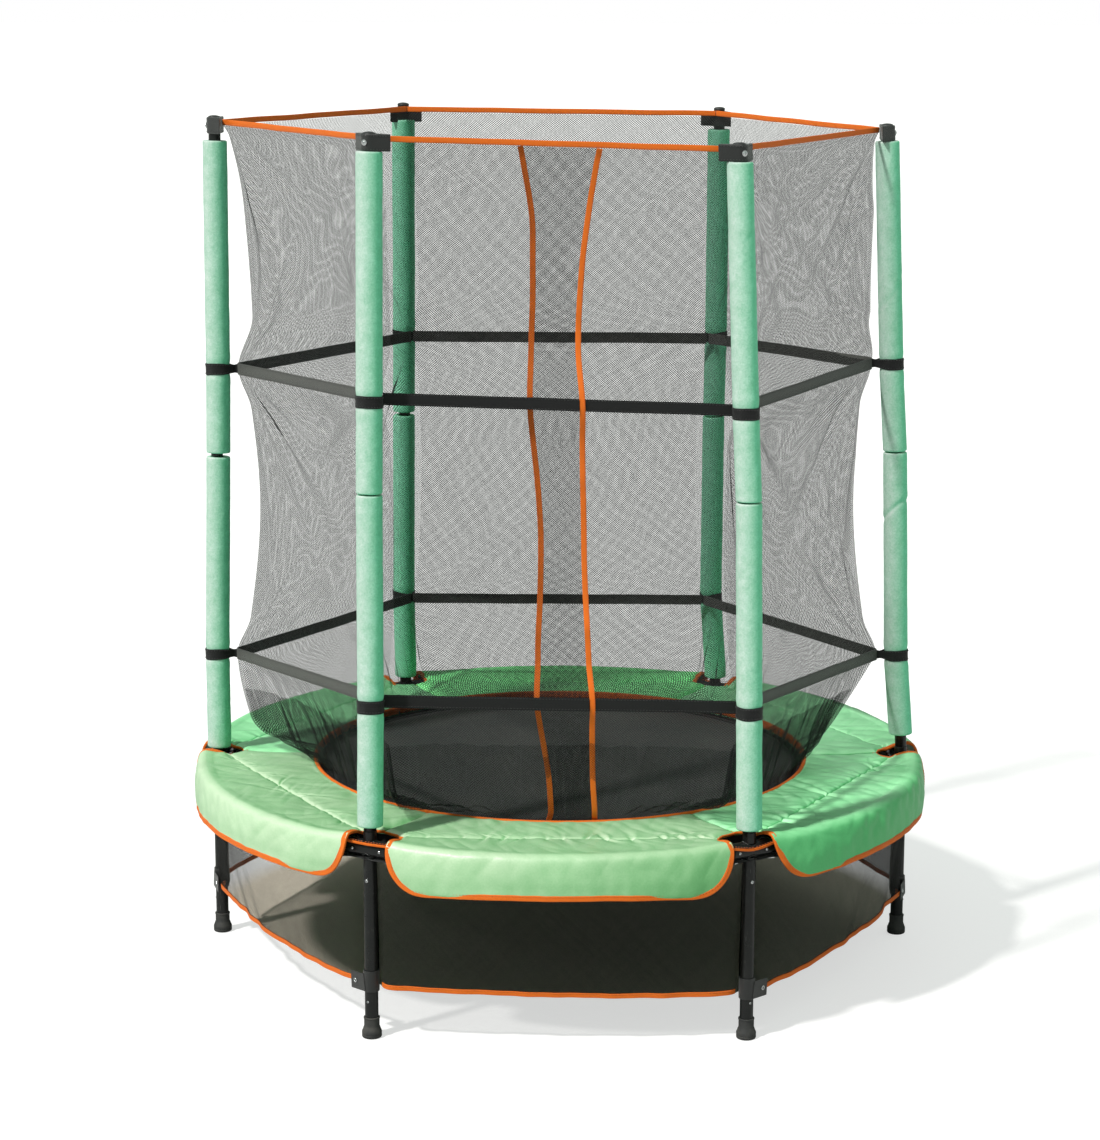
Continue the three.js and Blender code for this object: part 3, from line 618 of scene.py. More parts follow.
def open_mesh(name, colour, cell, slant, thread, shade=1.0):
    """Mesh cloth of fine threads; shade is the share of the sun that its threads hold back."""
    made = Finish(name, colour, 0.7, Specular_IOR_Level=0.12)
    net = made.use(NET, made.cloth_place(), Cell=cell, Slant=slant, Thread=thread)
    soft = made.use(MOTTLE, made.solid_place(), Patches=12.0, Grains=500.0)
    made.tint(soft["Tone"], tuple(1.8 * part for part in colour), 0.6)
    facing = put(made.tree, "LayerWeight", {"Blend": 0.5}).outputs["Facing"]
    closing = reckon(made.tree, "MULTIPLY", reckon(made.tree, "POWER", facing, EDGE_ON_POWER), EDGE_ON_COVER)
    threads = spread(made.tree, net["Cover"], 0.0, 1.0, HOLE_COVER, THREAD_COVER)
    cover = reckon(made.tree, "MAXIMUM", threads, closing)
    toward_lamp = put(made.tree, "LightPath").outputs["Is Shadow Ray"]
    cover = reckon(made.tree, "MULTIPLY", cover, spread(made.tree, toward_lamp, 0.0, 1.0, 1.0, shade))
    return made.relief(net["Height"], 0.15 * MM).holes(cover).material


def mat_cloth():
    made = Finish("black_mat_weave", (0.016, 0.017, 0.017), 0.5, Sheen_Weight=0.1)
    weave = made.use(WEAVE, made.cloth_place(), Across=1.5 * MM, Along=1.5 * MM)
    soft = made.use(MOTTLE, made.solid_place(), Patches=7.0, Grains=300.0)
    marks = made.use(WEAR, made.solid_place(), Scale=6.0, Dust=0.14, Scuffs=0.0)
    made.tint(weave["Tone"], (0.035, 0.036, 0.036), 0.5).tint(soft["Tone"], (0.024, 0.025, 0.025), 0.6)
    made.tint(marks["Dust"], DUST)
    return made.gloss(weave["Tone"], 0.42, 0.6).relief(weave["Height"], 0.2 * MM).material


PAINT = painted_steel("black_painted_steel", 0.08, 0.35)
GLOSSY_PAINT = painted_steel("glossy_black_painted_steel", 0.9, 0.6)
ZINC, CHROME = zinc_wire(), chrome()
RUBBER = moulded("foot_rubber", (0.018, 0.019, 0.019), 0.72, 0.2 * MM, 0.5)
PLASTIC = moulded("cap_plastic", (0.014, 0.014, 0.015), 0.42, 0.08 * MM, 0.3)
# the two colours multiply the base on faces turned from the sun and on faces turned toward it: painted shade
# and painted sunlight
FOAM = foam_skin("mint_foam", (0.52, 1.04, 0.89), (1.7, 0.92, 1.26))
# a brighter, greener copy of the foam for the back sleeves: painted light against the net's shade on them
NET_SHADE_FOAM = foam_skin("net_shade_mint_foam", (0.5, 1.35, 1.05), (1.25, 1.3, 1.4))
VINYL = coated_cloth("green_coated_cloth", (0.5, 0.75, 0.6), (2.0, 1.12, 1.85))
# brighter, more saturated copies of the coated cloth for the pads on the right, at the left back and at the
# back, which the net shades: painted light
SIDE_SHADE_VINYL = coated_cloth("side_shade_green_coated_cloth", (0.3, 0.79, 0.61), (1.8, 1.6, 2.15))
BACK_SHADE_VINYL = coated_cloth("back_shade_green_coated_cloth", (0.3, 1.0, 0.6), (1.5, 2.1, 1.9))
PAD_CLOTHS = {"front": VINYL, "right_front": SIDE_SHADE_VINYL, "right_back": SIDE_SHADE_VINYL, "back": BACK_SHADE_VINYL,
              "left_back": SIDE_SHADE_VINYL, "left_front": VINYL}
BINDING = woven_tape("orange_tape", (0.88, 0.17, 0.012), (0.94, 0.25, 0.03), 1.1 * MM, 0.9 * MM, 0.55,
                     sheen=0.0, specular=0.25)
WEBBING = woven_tape("black_webbing", (0.007, 0.007, 0.008), (0.017, 0.017, 0.018), 1.6 * MM, 1.2 * MM, 0.6,
                     sheen=0.06, specular=0.3)
# lighter copies of the black webbing: painted sunlight on the bands of the two front side bays, and painted
# light on the bands at the back, seen from inside
SUNLIT_WEBBING = woven_tape("sunlit_webbing", (0.045, 0.046, 0.041), (0.08, 0.08, 0.072), 1.6 * MM, 1.2 * MM,
                           0.6)
LIT_BACK_WEBBING = woven_tape("grey_webbing", (0.085, 0.085, 0.078), (0.13, 0.13, 0.12), 1.6 * MM, 1.2 * MM, 0.6)
WEBBING_FINISHES = (0, 1, 2, 2, 2, 1)   # black, painted sunlight or painted light in each bay
TAB_CLOTH = woven_tape("black_tab_cloth", (0.009, 0.01, 0.01), (0.022, 0.023, 0.023), 0.8 * MM, 0.8 * MM,
                       0.4, 0.1 * MM)
BLACK_THREAD = woven_tape("black_thread", (0.02, 0.02, 0.021), (0.05, 0.05, 0.05), 0.4 * MM, 0.4 * MM, 0.6)
GREEN_THREAD = woven_tape("green_thread", (0.16, 0.5, 0.2), (0.25, 0.6, 0.3), 0.4 * MM, 0.4 * MM, 0.55)
ORANGE_THREAD = woven_tape("orange_thread", (0.7, 0.13, 0.02), (0.85, 0.25, 0.05), 0.4 * MM, 0.4 * MM, 0.55)
# thickness of the net's threads in each bay, as a share of a cell
NET_THREADS = {"front": 0.105, "right_front": 0.215, "right_back": 0.33, "back": 0.36, "left_back": 0.27,
               "left_front": 0.215}
NET_CLOTHS = {bay: open_mesh(f"black_net_{bay}", (0.013, 0.014, 0.014), 4.2 * MM, 0.8, thread, shade=0.5)
              for bay, thread in NET_THREADS.items()}
SKIRT_CLOTH = open_mesh("black_skirt_mesh", (0.006, 0.006, 0.0055), 2.2 * MM, 1.0, 0.36)
# a denser, darker copy of the skirt mesh for the bays in shade: painted shade
SHADED_SKIRT_CLOTH = open_mesh("shaded_black_skirt_mesh", (0.006, 0.006, 0.0055), 2.2 * MM, 1.0, 0.52)
MAT_CLOTH = mat_cloth()


# ---------- frame: legs, feet, poles, ring ----------

LEG_WALL = 0.0015
BORE = RING_TUBE + 0.3 * MM
LEG_SCREWS = ((0.292, 3.4 * MM), (0.068, 2.2 * MM))     # height and head radius
SOCKET_SCREW = 2.8 * MM


def sideways(points):
    """Turns a shape drawn about an upright axis to lie along the ring."""
    return np.column_stack([points[:, 0], points[:, 2], points[:, 1]])


def screw_head(piece, place, radius=3.6 * MM, washer=0.0):
    """A pan head screw with a cross recess, drawn on the plane z = 0 facing +z; place moves its points."""
    base, sides = 0.0, 48
    if washer:
        piece.lathe([(washer, 0), (washer, 0.9 * MM), (radius * 0.9, 1.1 * MM)], 36, place)
        base = MM
    rings = np.linspace(0.04, 1, 12)[:, None]
    angle = np.linspace(0, math.tau, sides, endpoint=False)
    dome = base + radius * 0.62 * np.sqrt(1 - (rings * 0.96) ** 2) * np.ones(sides)
    points = polar(rings * radius, angle[None], dome)
    arm = np.minimum(abs(points[..., 0]), abs(points[..., 1])) < radius * 0.14
    points[..., 2] -= np.where(arm & (rings < 0.62), radius * 0.4, 0)
    rim = polar(radius, angle[None], np.full((1, sides), base))
    points = np.concatenate([points, rim])
    last = (len(points) - 1) * sides
    ends = [list(range(sides)), list(range(last, last + sides))[::-1]]
    piece.add(place(points.reshape(-1, 3)), grid_faces(len(points), sides, wrap_columns=True) + ends)


def facing_outward(distance, height):
    """Gives the move that makes a shape drawn on z = 0 face outward, at a distance from a leg's axis."""
    return lambda points: np.column_stack([points[:, 2] + distance, points[:, 1], points[:, 0] + height])


def weld_bead(piece, place, up, radius):
    """The welded seam where an upright tube meets the socket that lies along the ring."""
    angle = np.linspace(0, math.tau, 96, endpoint=False)
    x, y = (radius + 0.5 * MM) * np.cos(angle), (radius + 0.5 * MM) * np.sin(angle)
    path = np.stack([x, y, up * (np.sqrt(SOCKET**2 - x**2) + 0.2 * MM)], -1)
    size = 1.7 * MM * (1 + 0.2 * np.sin(24 * angle) + 0.12 * np.sin(7 * angle))
    outward = np.stack([np.cos(angle), np.sin(angle), np.full(96, float(up))], -1)
    piece.sweep(place(path), circle(1, 10)[None] * size[:, None, None], unit(outward), closed=True)


def leg(k):
    """A leg, with the socket across its top that joins two rails, and the stub that holds a pole."""
    piece = Piece()
    at = lambda points: at_corner(points, k)
    bottom = 6.3 * MM
    top = RING_HEIGHT - BORE
    inside = LEG - LEG_WALL
    piece.lathe([(inside, bottom), (LEG, bottom), (LEG, top), (inside, top)], 48, at, pipe=True)
    half = SOCKET_LENGTH / 2
    lip = 0.6 * MM
    socket = [(BORE, -half), (SOCKET - lip, -half), (SOCKET, lip - half), (SOCKET, half - lip),
              (SOCKET - lip, half), (BORE, half)]
    raised = lambda points: at_corner(sideways(points) + np.array([0, 0, RING_HEIGHT]), k)
    piece.lathe(socket, 56, raised, pipe=True)
    stub = [(inside, BORE), (LEG, BORE), (LEG, STUB_RISE - lip), (LEG - lip, STUB_RISE), (inside, STUB_RISE)]
    pole_place = lambda points: on_pole(points, k)
    piece.lathe(stub, 48, pole_place, pipe=True)
    weld_bead(piece, lambda points: at_corner(points + np.array([0, 0, RING_HEIGHT]), k), -1, LEG)
    weld_bead(piece, pole_place, 1, LEG)
    piece.make(f"leg_tube_{CORNERS[k]}", PAINT, "black_steel", replaces=f"leg_{CORNERS[k]}")


def leg_screws(k):
    piece = Piece()
    for height, head in LEG_SCREWS:
        place = facing_outward(LEG - 0.2 * MM, height)
        screw_head(piece, lambda points: at_corner(place(points), k), head)
    for side in (-1, 1):
        place = facing_outward(SOCKET - 0.2 * MM, 0)
        shift = np.array([0, side * SOCKET_LENGTH * 0.36, RING_HEIGHT])
        screw_head(piece, lambda points: at_corner(place(points) + shift, k), SOCKET_SCREW)
    piece.make(f"leg_screws_{CORNERS[k]}", CHROME, "black_steel")


def foot(k):
    """A rubber cup with a grooved tread, a sloping shoulder and a beaded collar."""
    collar = 0.0138
    wide = FOOT_RADIUS
    profile = [(0.003, 0), (wide - 2.2 * MM, 0), (wide - 0.8 * MM, 0.7 * MM), (wide, 2.4 * MM),
               (wide, 5.4 * MM), (wide - 0.6 * MM, 6 * MM), (wide - 0.6 * MM, 6.8 * MM), (wide, 7.4 * MM),
               (wide, 11.5 * MM), (wide - 1.0 * MM, 13.5 * MM), (collar + 0.8 * MM, 19.5 * MM),
               (collar, 21.5 * MM), (collar, FOOT_HEIGHT - 3.4 * MM),
               (collar + 0.7 * MM, FOOT_HEIGHT - 2.8 * MM), (collar + 0.7 * MM, FOOT_HEIGHT - 0.7 * MM),
               (collar, FOOT_HEIGHT), (LEG + 0.3 * MM, FOOT_HEIGHT), (LEG + 0.3 * MM, 6 * MM),
               (0.003, 6 * MM)]
    piece = Piece().lathe(profile, 64, lambda points: at_corner(points, k), pipe=True)
    piece.make(f"foot_cup_{CORNERS[k]}", RUBBER, "foot_rubber", replaces=f"foot_{CORNERS[k]}")


def pole(k):
    """A pole's tube, which narrows to plug into the leg's stub, and its end cap."""
    name = CORNERS[k]
    top = along_pole(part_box(f"pole_{name}")[1].z) - 0.3 * MM
    wall = 1.6 * MM
    swage = LEG - LEG_WALL - 0.3 * MM
    shoulder = STUB_RISE + 0.3 * MM
    profile = [(swage - 1.2 * MM, STUB_RISE - 16 * MM), (swage, STUB_RISE - 16 * MM), (swage, shoulder),
               (POLE - 0.5 * MM, shoulder), (POLE, shoulder + 0.7 * MM), (POLE, top), (POLE - wall, top),
               (POLE - wall, shoulder + 4 * MM), (swage - 1.2 * MM, shoulder)]
    place = lambda points: on_pole(points, k)
    tube = Piece().lathe(profile, 48, place, pipe=True)
    tube.make(f"pole_tube_{name}", PAINT, "black_steel", replaces=f"pole_{name}")
    seat = top + 0.3 * MM
    plug = POLE - wall - 0.3 * MM
    rise = along_pole(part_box(f"pole_cap_{name}")[1].z) - seat
    rim = POLE + 0.4 * MM
    stem = [(plug, seat - 18 * MM), (plug, seat), (rim, seat), (rim, seat + rise * 0.35)]
    bow = [(rim * math.cos(a), seat + rise * (0.35 + 0.65 * math.sin(a))) for a in np.linspace(0.12, 1.5, 9)]
    cap = Piece().lathe(stem + bow, 48, place)
    cap.make(f"pole_end_{name}", PLASTIC, "black_plastic", replaces=f"pole_cap_{name}")


def ring_path(bay, first=2 * MM, straight=0.041):
    """The centre line of a ring rail: straight in its two sockets, and an arc between them."""
    angles = np.linspace(-HALF + 2 * straight / FRAME_RADIUS, HALF - 2 * straight / FRAME_RADIUS, 41)
    arc = polar(FRAME_RADIUS, angles, RING_HEIGHT)
    ends = []
    for side in (-1, 1):
        along = np.array([-math.sin(side * HALF), math.cos(side * HALF), 0]) * -side
        corner = polar(FRAME_RADIUS, side * HALF, RING_HEIGHT)
        ends.append([corner + along * run for run in (first, straight)])
    return turned(np.concatenate([ends[0], arc, ends[1][::-1]]), bay_angle(bay))


def rail(bay):
    """One bay of the ring."""
    name = BAYS[bay]
    piece = Piece().sweep(ring_path(bay), circle(RING_TUBE, 32), (0, 0, 1))
    piece.make(f"ring_rail_{name}", GLOSSY_PAINT, "spring_and_rail_steel", replaces=f"rail_{name}")


# ---------- bed: mat, triangular rings and springs ----------

WIRE = 1.6 * MM                         # radius of a triangular ring's wire
SPRING_WIRE = 1.4 * MM
SPRING_RADIUS = 7 * MM
WIRE_HEIGHT = MAT_TOP - 2.5 * MM
RING_BAR = MAT_RADIUS + RING_REACH - WIRE
SPRING_START = RING_BAR + WIRE + 4 * MM
SPRING_END = FRAME_RADIUS - RING_TUBE - 10 * MM
SPRING_STEP = math.tau / SPRING_COUNT


def spring_angle(k):
    """Direction of a spring and its ring from the middle."""
    return FIRST_CORNER + (k + 0.5) * SPRING_STEP


def bent(points, radius, steps=5):
    """A closed line with its corners rounded."""
    points = np.asarray(points, float)
    made = []
    for before, corner, after in zip(np.roll(points, 1, 0), points, np.roll(points, -1, 0)):
        start = corner + unit(before - corner) * radius
        end = corner + unit(after - corner) * radius
        for t in np.linspace(0, 1, steps):
            made.append((1 - t) ** 2 * start + 2 * t * (1 - t) * corner + t**2 * end)
    return np.array(made)


def mat_rings():
    """The triangular wire rings at the mat's edge, one for each spring."""
    piece = Piece()
    mouth, bar = 13 * MM - WIRE, 9 * MM - WIRE * 0.5
    for k in range(SPRING_COUNT):
        outline = [(MAT_RADIUS - 8 * MM, -mouth, WIRE_HEIGHT), (RING_BAR, -bar, WIRE_HEIGHT),
                   (RING_BAR, bar, WIRE_HEIGHT), (MAT_RADIUS - 8 * MM, mouth, WIRE_HEIGHT)]
        piece.sweep(turned(bent(outline, 4 * MM), spring_angle(k)), circle(WIRE, 8), (0, 0, 1), closed=True)
    piece.make("mat_triangular_rings", ZINC, "spring_and_rail_steel", body="bed")


def spring(k):
    """One coil spring with its two hooks, which stretches between the ring and the bed."""
    coil = SPRING_RADIUS - SPRING_WIRE
    turns = round((SPRING_END - SPRING_START) / (2.25 * SPRING_WIRE))
    t = np.linspace(0, 1, turns * 9 + 1)
    wound = np.stack([SPRING_START + (SPRING_END - SPRING_START) * t, coil * np.sin(t * turns * math.tau),
                      WIRE_HEIGHT + coil * np.cos(t * turns * math.tau)], -1)
    over = WIRE_HEIGHT + WIRE + SPRING_WIRE + 0.3 * MM
    tip = RING_BAR - WIRE - 3 * MM
    hook = [(tip, 0, over - 8 * MM), (tip - 0.2 * MM, 0, over - 3 * MM), (tip + 1.2 * MM, 0, over - 0.6 * MM),
            (tip + 4 * MM, 0, over), (SPRING_START - 3 * MM, 0, over),
            (SPRING_START - MM, 0, WIRE_HEIGHT + coil * 0.9)]
    tail = [(SPRING_END + MM, 0, WIRE_HEIGHT + coil * 0.8), (SPRING_END + 4 * MM, 0, WIRE_HEIGHT + 2 * MM),
            (FRAME_RADIUS - RING_TUBE + 2 * MM, 0, WIRE_HEIGHT - 0.5 * MM)]
    path = np.concatenate([hook, wound, tail])
    piece = Piece().sweep(turned(path, spring_angle(k)), circle(SPRING_WIRE, 6), (0.3, 0.2, 1))
    made = piece.make(f"coil_spring_{k + 1:02d}", ZINC, "spring_and_rail_steel", body=None)
    outer, inner = (polar(r, spring_angle(k), WIRE_HEIGHT).tolist() for r in (SPRING_END, SPRING_START))
    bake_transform(made)


def mat():
    """The woven mat, its folded border and the webbing loops that hold the rings."""
    border = MAT_RADIUS - 38 * MM
    piece = Piece()
    radii = np.concatenate([[0.002], np.linspace(0.02, border, 40)])
    angle = np.linspace(0, math.tau, 181)
    sag = -1.5 * MM * (1 - (radii / border) ** 2)[:, None]
    top = polar(radii[:, None], angle[None], MAT_TOP - 1.7 * MM + sag)
    top[..., 2] += 0.5 * MM * rough(top[..., :2], 9.0, 3)
    for surface in (top, top - np.array([0, 0, 1.6 * MM])):
        piece.sheet(surface, surface[..., :2])
    cloth = piece.make("mat_cloth", MAT_CLOTH, "mat_weave", body="bed", replaces="mat")
    edge = Piece()
    ring = polar(MAT_RADIUS - 19 * MM, angle[:-1], MAT_TOP - 2.5 * MM)
    edge.sweep(ring, rounded(38 * MM, 4.6 * MM, 20, 7), (0, 0, 1), closed=True)
    for k in range(SPRING_COUNT):
        strap = [(MAT_RADIUS + out * MM, 0, MAT_TOP + up * MM)
                 for out, up in ((-22, 0.4), (0.5, 0.4), (2.4, -2.5), (0.5, -5.4), (-22, -5.4))]
        edge.sweep(turned(np.array(strap), spring_angle(k)), rounded(17 * MM, 0.9 * MM, 12, 6), (0, 1, 0))
    border_piece = edge.make("mat_border", WEBBING, "mat_weave", body="bed")
    sewn = Piece()
    for inset in (6, 17, 32):
        row = polar(MAT_RADIUS - inset * MM, np.linspace(0, math.tau, 240), MAT_TOP + 0.1 * MM)
        stitches(sewn, row, (0, 0, 1), 4 * MM, 2.6 * MM, 0.9 * MM)
    seam = sewn.make("mat_stitches", BLACK_THREAD, "mat_weave", body="bed")


for k in range(len(CORNERS)):
    leg(k)
    leg_screws(k)
    foot(k)
    pole(k)
    rail(k)
mat_rings()
for k in range(SPRING_COUNT):
    spring(k)
mat()


# ---------- foam sleeves ----------

SLEEVE_JOINT = (0.609, 0.612)           # along the pole, from the ring's centre line
SLEEVE_ENDS = (0.036, 1.205)
# how far the sleeves' upper and lower ends have slipped up their poles, in millimetres
TOP_SLIPS = {"front_left": 3, "front_right": 3, "right": 3, "back_right": -8, "back_left": 3, "left": -9}
LOWER_SLIPS = {"front_left": 5, "front_right": 1, "right": 22, "back_right": -7, "back_left": -7, "left": -8}


def sleeve(k, upper):
    """A foam tube round a pole, pinched where the net's loops hold it."""
    corner = CORNERS[k]
    gapes = corner in ("left", "back_left")
    if upper:
        start, end = SLEEVE_JOINT[1] + 3 * MM * gapes, SLEEVE_ENDS[1] + TOP_SLIPS[corner] * MM
    else:
        start, end = SLEEVE_ENDS[0] + LOWER_SLIPS[corner] * MM, SLEEVE_JOINT[0] - 2 * MM * gapes
    sides, seed = 56, k * 2 + upper + 1
    lip = np.array([0, 0.4, 1.1, 2.2]) * MM
    along = np.concatenate([start + lip, np.linspace(start + 4 * MM, end - 4 * MM, 190), end - lip[::-1]])
    angle = np.linspace(0, math.tau, sides, endpoint=False)
    radius = np.full((len(along), sides), FOAM_RADIUS - 0.7 * MM)
    for band in (MIDDLE_BAND, LOWER_BAND):
        off = along_pole(band) - along
        radius -= (2.2 * MM * bump(off, 0, 0.011) - 0.5 * MM * bump(abs(off), 0.022, 0.009))[:, None]
    rounding = np.minimum(along - start, end - along)
    radius -= (1.6 * MM * np.exp(-rounding / (0.9 * MM)))[:, None]
    around = np.stack(np.broadcast_arrays(np.cos(angle)[None], np.sin(angle)[None], along[:, None]), -1)
    radius += (0.45 * MM * rough(around, (1.2, 1.2, 18), seed)
               + 0.22 * MM * rough(around, (4, 4, 90), seed + 40))
    if corner == "right" and not upper:
        kink = along[:, None] - 0.5 - 0.02 * np.cos(angle + 0.6)[None]
        radius -= 1.6 * MM * bump(kink, 0, 0.005) - 0.7 * MM * bump(kink, 0.012, 0.008)
    else:
        kink = (along[:, None] - (start + end) / 2 - 0.22 * math.sin(seed * 2.1)
                - 0.03 * np.cos(angle + seed)[None])
        radius -= 0.5 * MM * bump(kink, 0, 0.006)
    bore = POLE + 0.5 * MM
    shape = polar(radius, angle[None], along[:, None])
    ends = [polar(bore, angle[None], np.full((1, sides), z)) for z in (end, start)]
    points = np.concatenate([shape] + ends)
    heights = np.append(along, [end, start])[:, None]
    cloth = np.stack(np.broadcast_arrays(angle[None] * FOAM_RADIUS, heights), -1)
    piece = Piece().add(on_pole(points.reshape(-1, 3), k),
                        grid_faces(len(points), sides, wrap_rows=True, wrap_columns=True), cloth)
    name = f"{'upper' if upper else 'lower'}_{corner}"
    # the back sleeves take the foam copy with painted light against the net's shade
    finish = NET_SHADE_FOAM if "back" in name else FOAM
    made = piece.make(f"sleeve_{name}", finish, "green_foam", replaces=f"foam_{name}")


# ---------- safety pad ----------

CREASE = FRAME_RADIUS - 0.093           # apothem of the sewn line
NOTCH = 0.037
NOTCH_CENTRE = FRAME_RADIUS - 0.048 + NOTCH
SHOULDER = 0.013
SEAM_GAP = 0.25 * MM
# each panel's share of a notch, the radius of its flap's corners, and how many millimetres its two ends
# hang below its middle
PANELS = {"front": (1.45, 0.079, (14, 18)), "left_front": (0.8, 0.068, (-8, 4)),
          "right_front": (0.8, 0.090, (9, 0))}
PLAIN_PANEL = (1.0, 0.070, (0, 0))
SLACKNESS = {"left_front": 1.15, "right_front": 1.5, "right_back": 1.3}     # of the cloth, where it isn't 1
TOP_INSIDE = ((0, 0.03, 0.08, 0.18, 0.55, 0.85, 0.94, 0.98, 1),
              (0.3585, 0.3665, 0.3694, 0.3701, 0.3706, 0.3702, 0.3694, 0.3678, 0.3650))
SOLE_INSIDE = ((0, 0.05, 0.18, 1), (0.3531, 0.3543, 0.3569, 0.3569))


def outside_profile(crease, top):
    """Radius and height outside the sewn line, at shares of the way to the flap's lower edge."""
    outer, rim = PAD_OUTER, FRAME_RADIUS - RING_TUBE
    if top:
        share = (0, 0.022, 0.07, 0.22, 0.4, 0.575, 0.655, 0.76, 0.87, 1)
        radius = (crease, crease + 3 * MM, crease + 10 * MM, crease + (rim - crease) * 0.5 + 4 * MM, rim,
                  outer - 0.027, outer - SHOULDER, outer - SHOULDER * 0.4, outer - MM, outer)
        height = (0.3650, 0.3678, 0.3696, 0.3714, 0.3724, 0.3736, 0.3672, 0.3475, 0.323, FLAP_BOTTOM)
    else:
        share = (0, 0.4, 0.575, 0.655, 0.76, 0.87, 1)
        radius = (crease, rim, outer - 0.027, outer - SHOULDER - 4 * MM, outer - SHOULDER * 0.4 - 3 * MM,
                  outer - 4 * MM, outer - 3 * MM)
        height = (0.3569, 0.3623, 0.3696, 0.3645, 0.3465, 0.323, FLAP_BOTTOM)
    return share, radius, height


def notch_gap(radius, height, wide, round_corner):
    """A panel's part of the gap to the next one, at a distance from the middle and a height."""
    gap = np.sqrt(np.maximum(NOTCH**2 - np.clip(NOTCH_CENTRE - radius, 0, NOTCH) ** 2, 0))
    gap = np.maximum(np.where(radius > NOTCH_CENTRE, NOTCH, gap) * wide, SEAM_GAP)
    drop = np.clip(FLAP_BOTTOM + round_corner - height, 0, round_corner)
    corner = round_corner - np.sqrt(round_corner**2 - drop**2)
    return gap + np.where(radius > FRAME_RADIUS + RING_TUBE, corner, 0)


def pad_surface(side, rows, top, panel):
    """Radius, direction and height over a panel's face. Side runs from -1 to 1 along it, and rows from 0
    to 1 inside the sewn line and from 1 to 2 outside it."""
    side, rows = np.atleast_1d(side), np.atleast_1d(rows)
    inner, outer = rows[rows <= 1], rows[rows > 1] - 1
    reach = np.full((len(rows), len(side)), HALF)
    for again in range(6):
        angle = side[None] * reach
        crease = CREASE / np.cos(angle)
        inside = PAD_INNER + (crease[:len(inner)] - PAD_INNER) * inner[:, None]
        low = eased(inner, *(TOP_INSIDE if top else SOLE_INSIDE))[:, None] * np.ones((1, len(side)))
        columns = []
        for line in crease[len(inner):].mean(0) if len(outer) else []:
            share, r, z = outside_profile(line, top)
            columns.append(np.stack([eased(outer, share, r), eased(outer, share, z)], -1))
        radius, height = inside, low
        if columns:
            columns = np.stack(columns, 1)
            radius = np.concatenate([inside, columns[..., 0]])
            height = np.concatenate([low, columns[..., 1]])
        edge_radius, edge_height = radius[:, -1:], height[:, -1:]
        gap = notch_gap(edge_radius, edge_height, *panel[:2])
        reach = HALF - np.arcsin(gap / edge_radius) * np.ones((1, len(side)))
    return radius, side[None] * reach, height


def puckers(radius, angle, seed, amount, scatter=0.5):
    """How far the short gathers beside the sewn line sink the cloth."""
    chance = np.random.default_rng(seed)
    crease = CREASE / np.cos(angle)
    away = radius - crease
    along = CREASE * np.tan(angle)
    depth = np.zeros_like(radius)
    half = CREASE * math.tan(HALF) - 0.05
    at = -half
    while at < half:
        deep = amount * chance.uniform(0.4, 1.3)
        lean, reach = chance.normal(0, scatter), chance.uniform(0.013, 0.045)
        width = chance.uniform(2.6, 5.5) * MM
        side = chance.choice([-1, 1, 0])
        fade = np.exp(-(abs(away) / reach) ** 1.4) * (np.where(away * side < 0, 0.35, 1) if side else 1)
        spread_out = width + 0.14 * abs(away)
        line = at + lean * away
        beside = 0.5 * bump(along, line + 1.7 * spread_out, spread_out)
        depth += deep * fade * (bump(along, line, spread_out) - beside)
        at += chance.uniform(0.016, 0.062)
    return depth


def wrinkles(bay, radius, angle, height, margin, out):
    """How far a panel's upper cloth sinks at its gathers, wrinkles and end seams; out is 1 on the flap."""
    name = BAYS[bay]
    slack = SLACKNESS.get(name, 1.0)
    flat = np.stack([angle * 0.7, radius + (0.374 - height), np.full_like(angle, bay * 1.7)], -1)
    sink = puckers(radius, angle, 50 + bay, 2.8 * MM * slack, 0.9 if name == "left_front" else 0.5)
    sink += 1.5 * MM * (1 - rough(flat, (9, 16, 1), 3)) * (1 - out) * slack
    sink += 1.2 * MM * rough(flat, (34, 22, 1), 5) * slack
    slanting = flat @ np.array([[0.8, -0.6, 0], [0.6, 0.8, 0], [0, 0, 1]])
    sink += 2.4 * MM * (0.25 - np.abs(rough(slanting, (26, 7, 1), 9))) * slack
    across = flat @ np.array([[0.7, 0.7, 0], [-0.7, 0.7, 0], [0, 0, 1]])
    sink += 1.6 * MM * (0.2 - np.abs(rough(across, (38, 12, 1), 14))) * slack
    seam = np.exp(-(margin / (7 * MM)) ** 1.3)
    return sink + seam * (5.5 * MM * (1 - out) + 1.5 * MM * out)


def flap_waves(bay, angle, height):
    """Long and short waves along a hanging flap."""
    own = np.full_like(angle, bay * 3.1)
    waves = rough(np.stack([angle * 0.7, height * 0.35, own], -1), (17, 17, 1), 8)
    return waves + 0.5 * rough(np.stack([angle * 0.7, height * 0.8, own], -1), (48, 30, 1), 6)


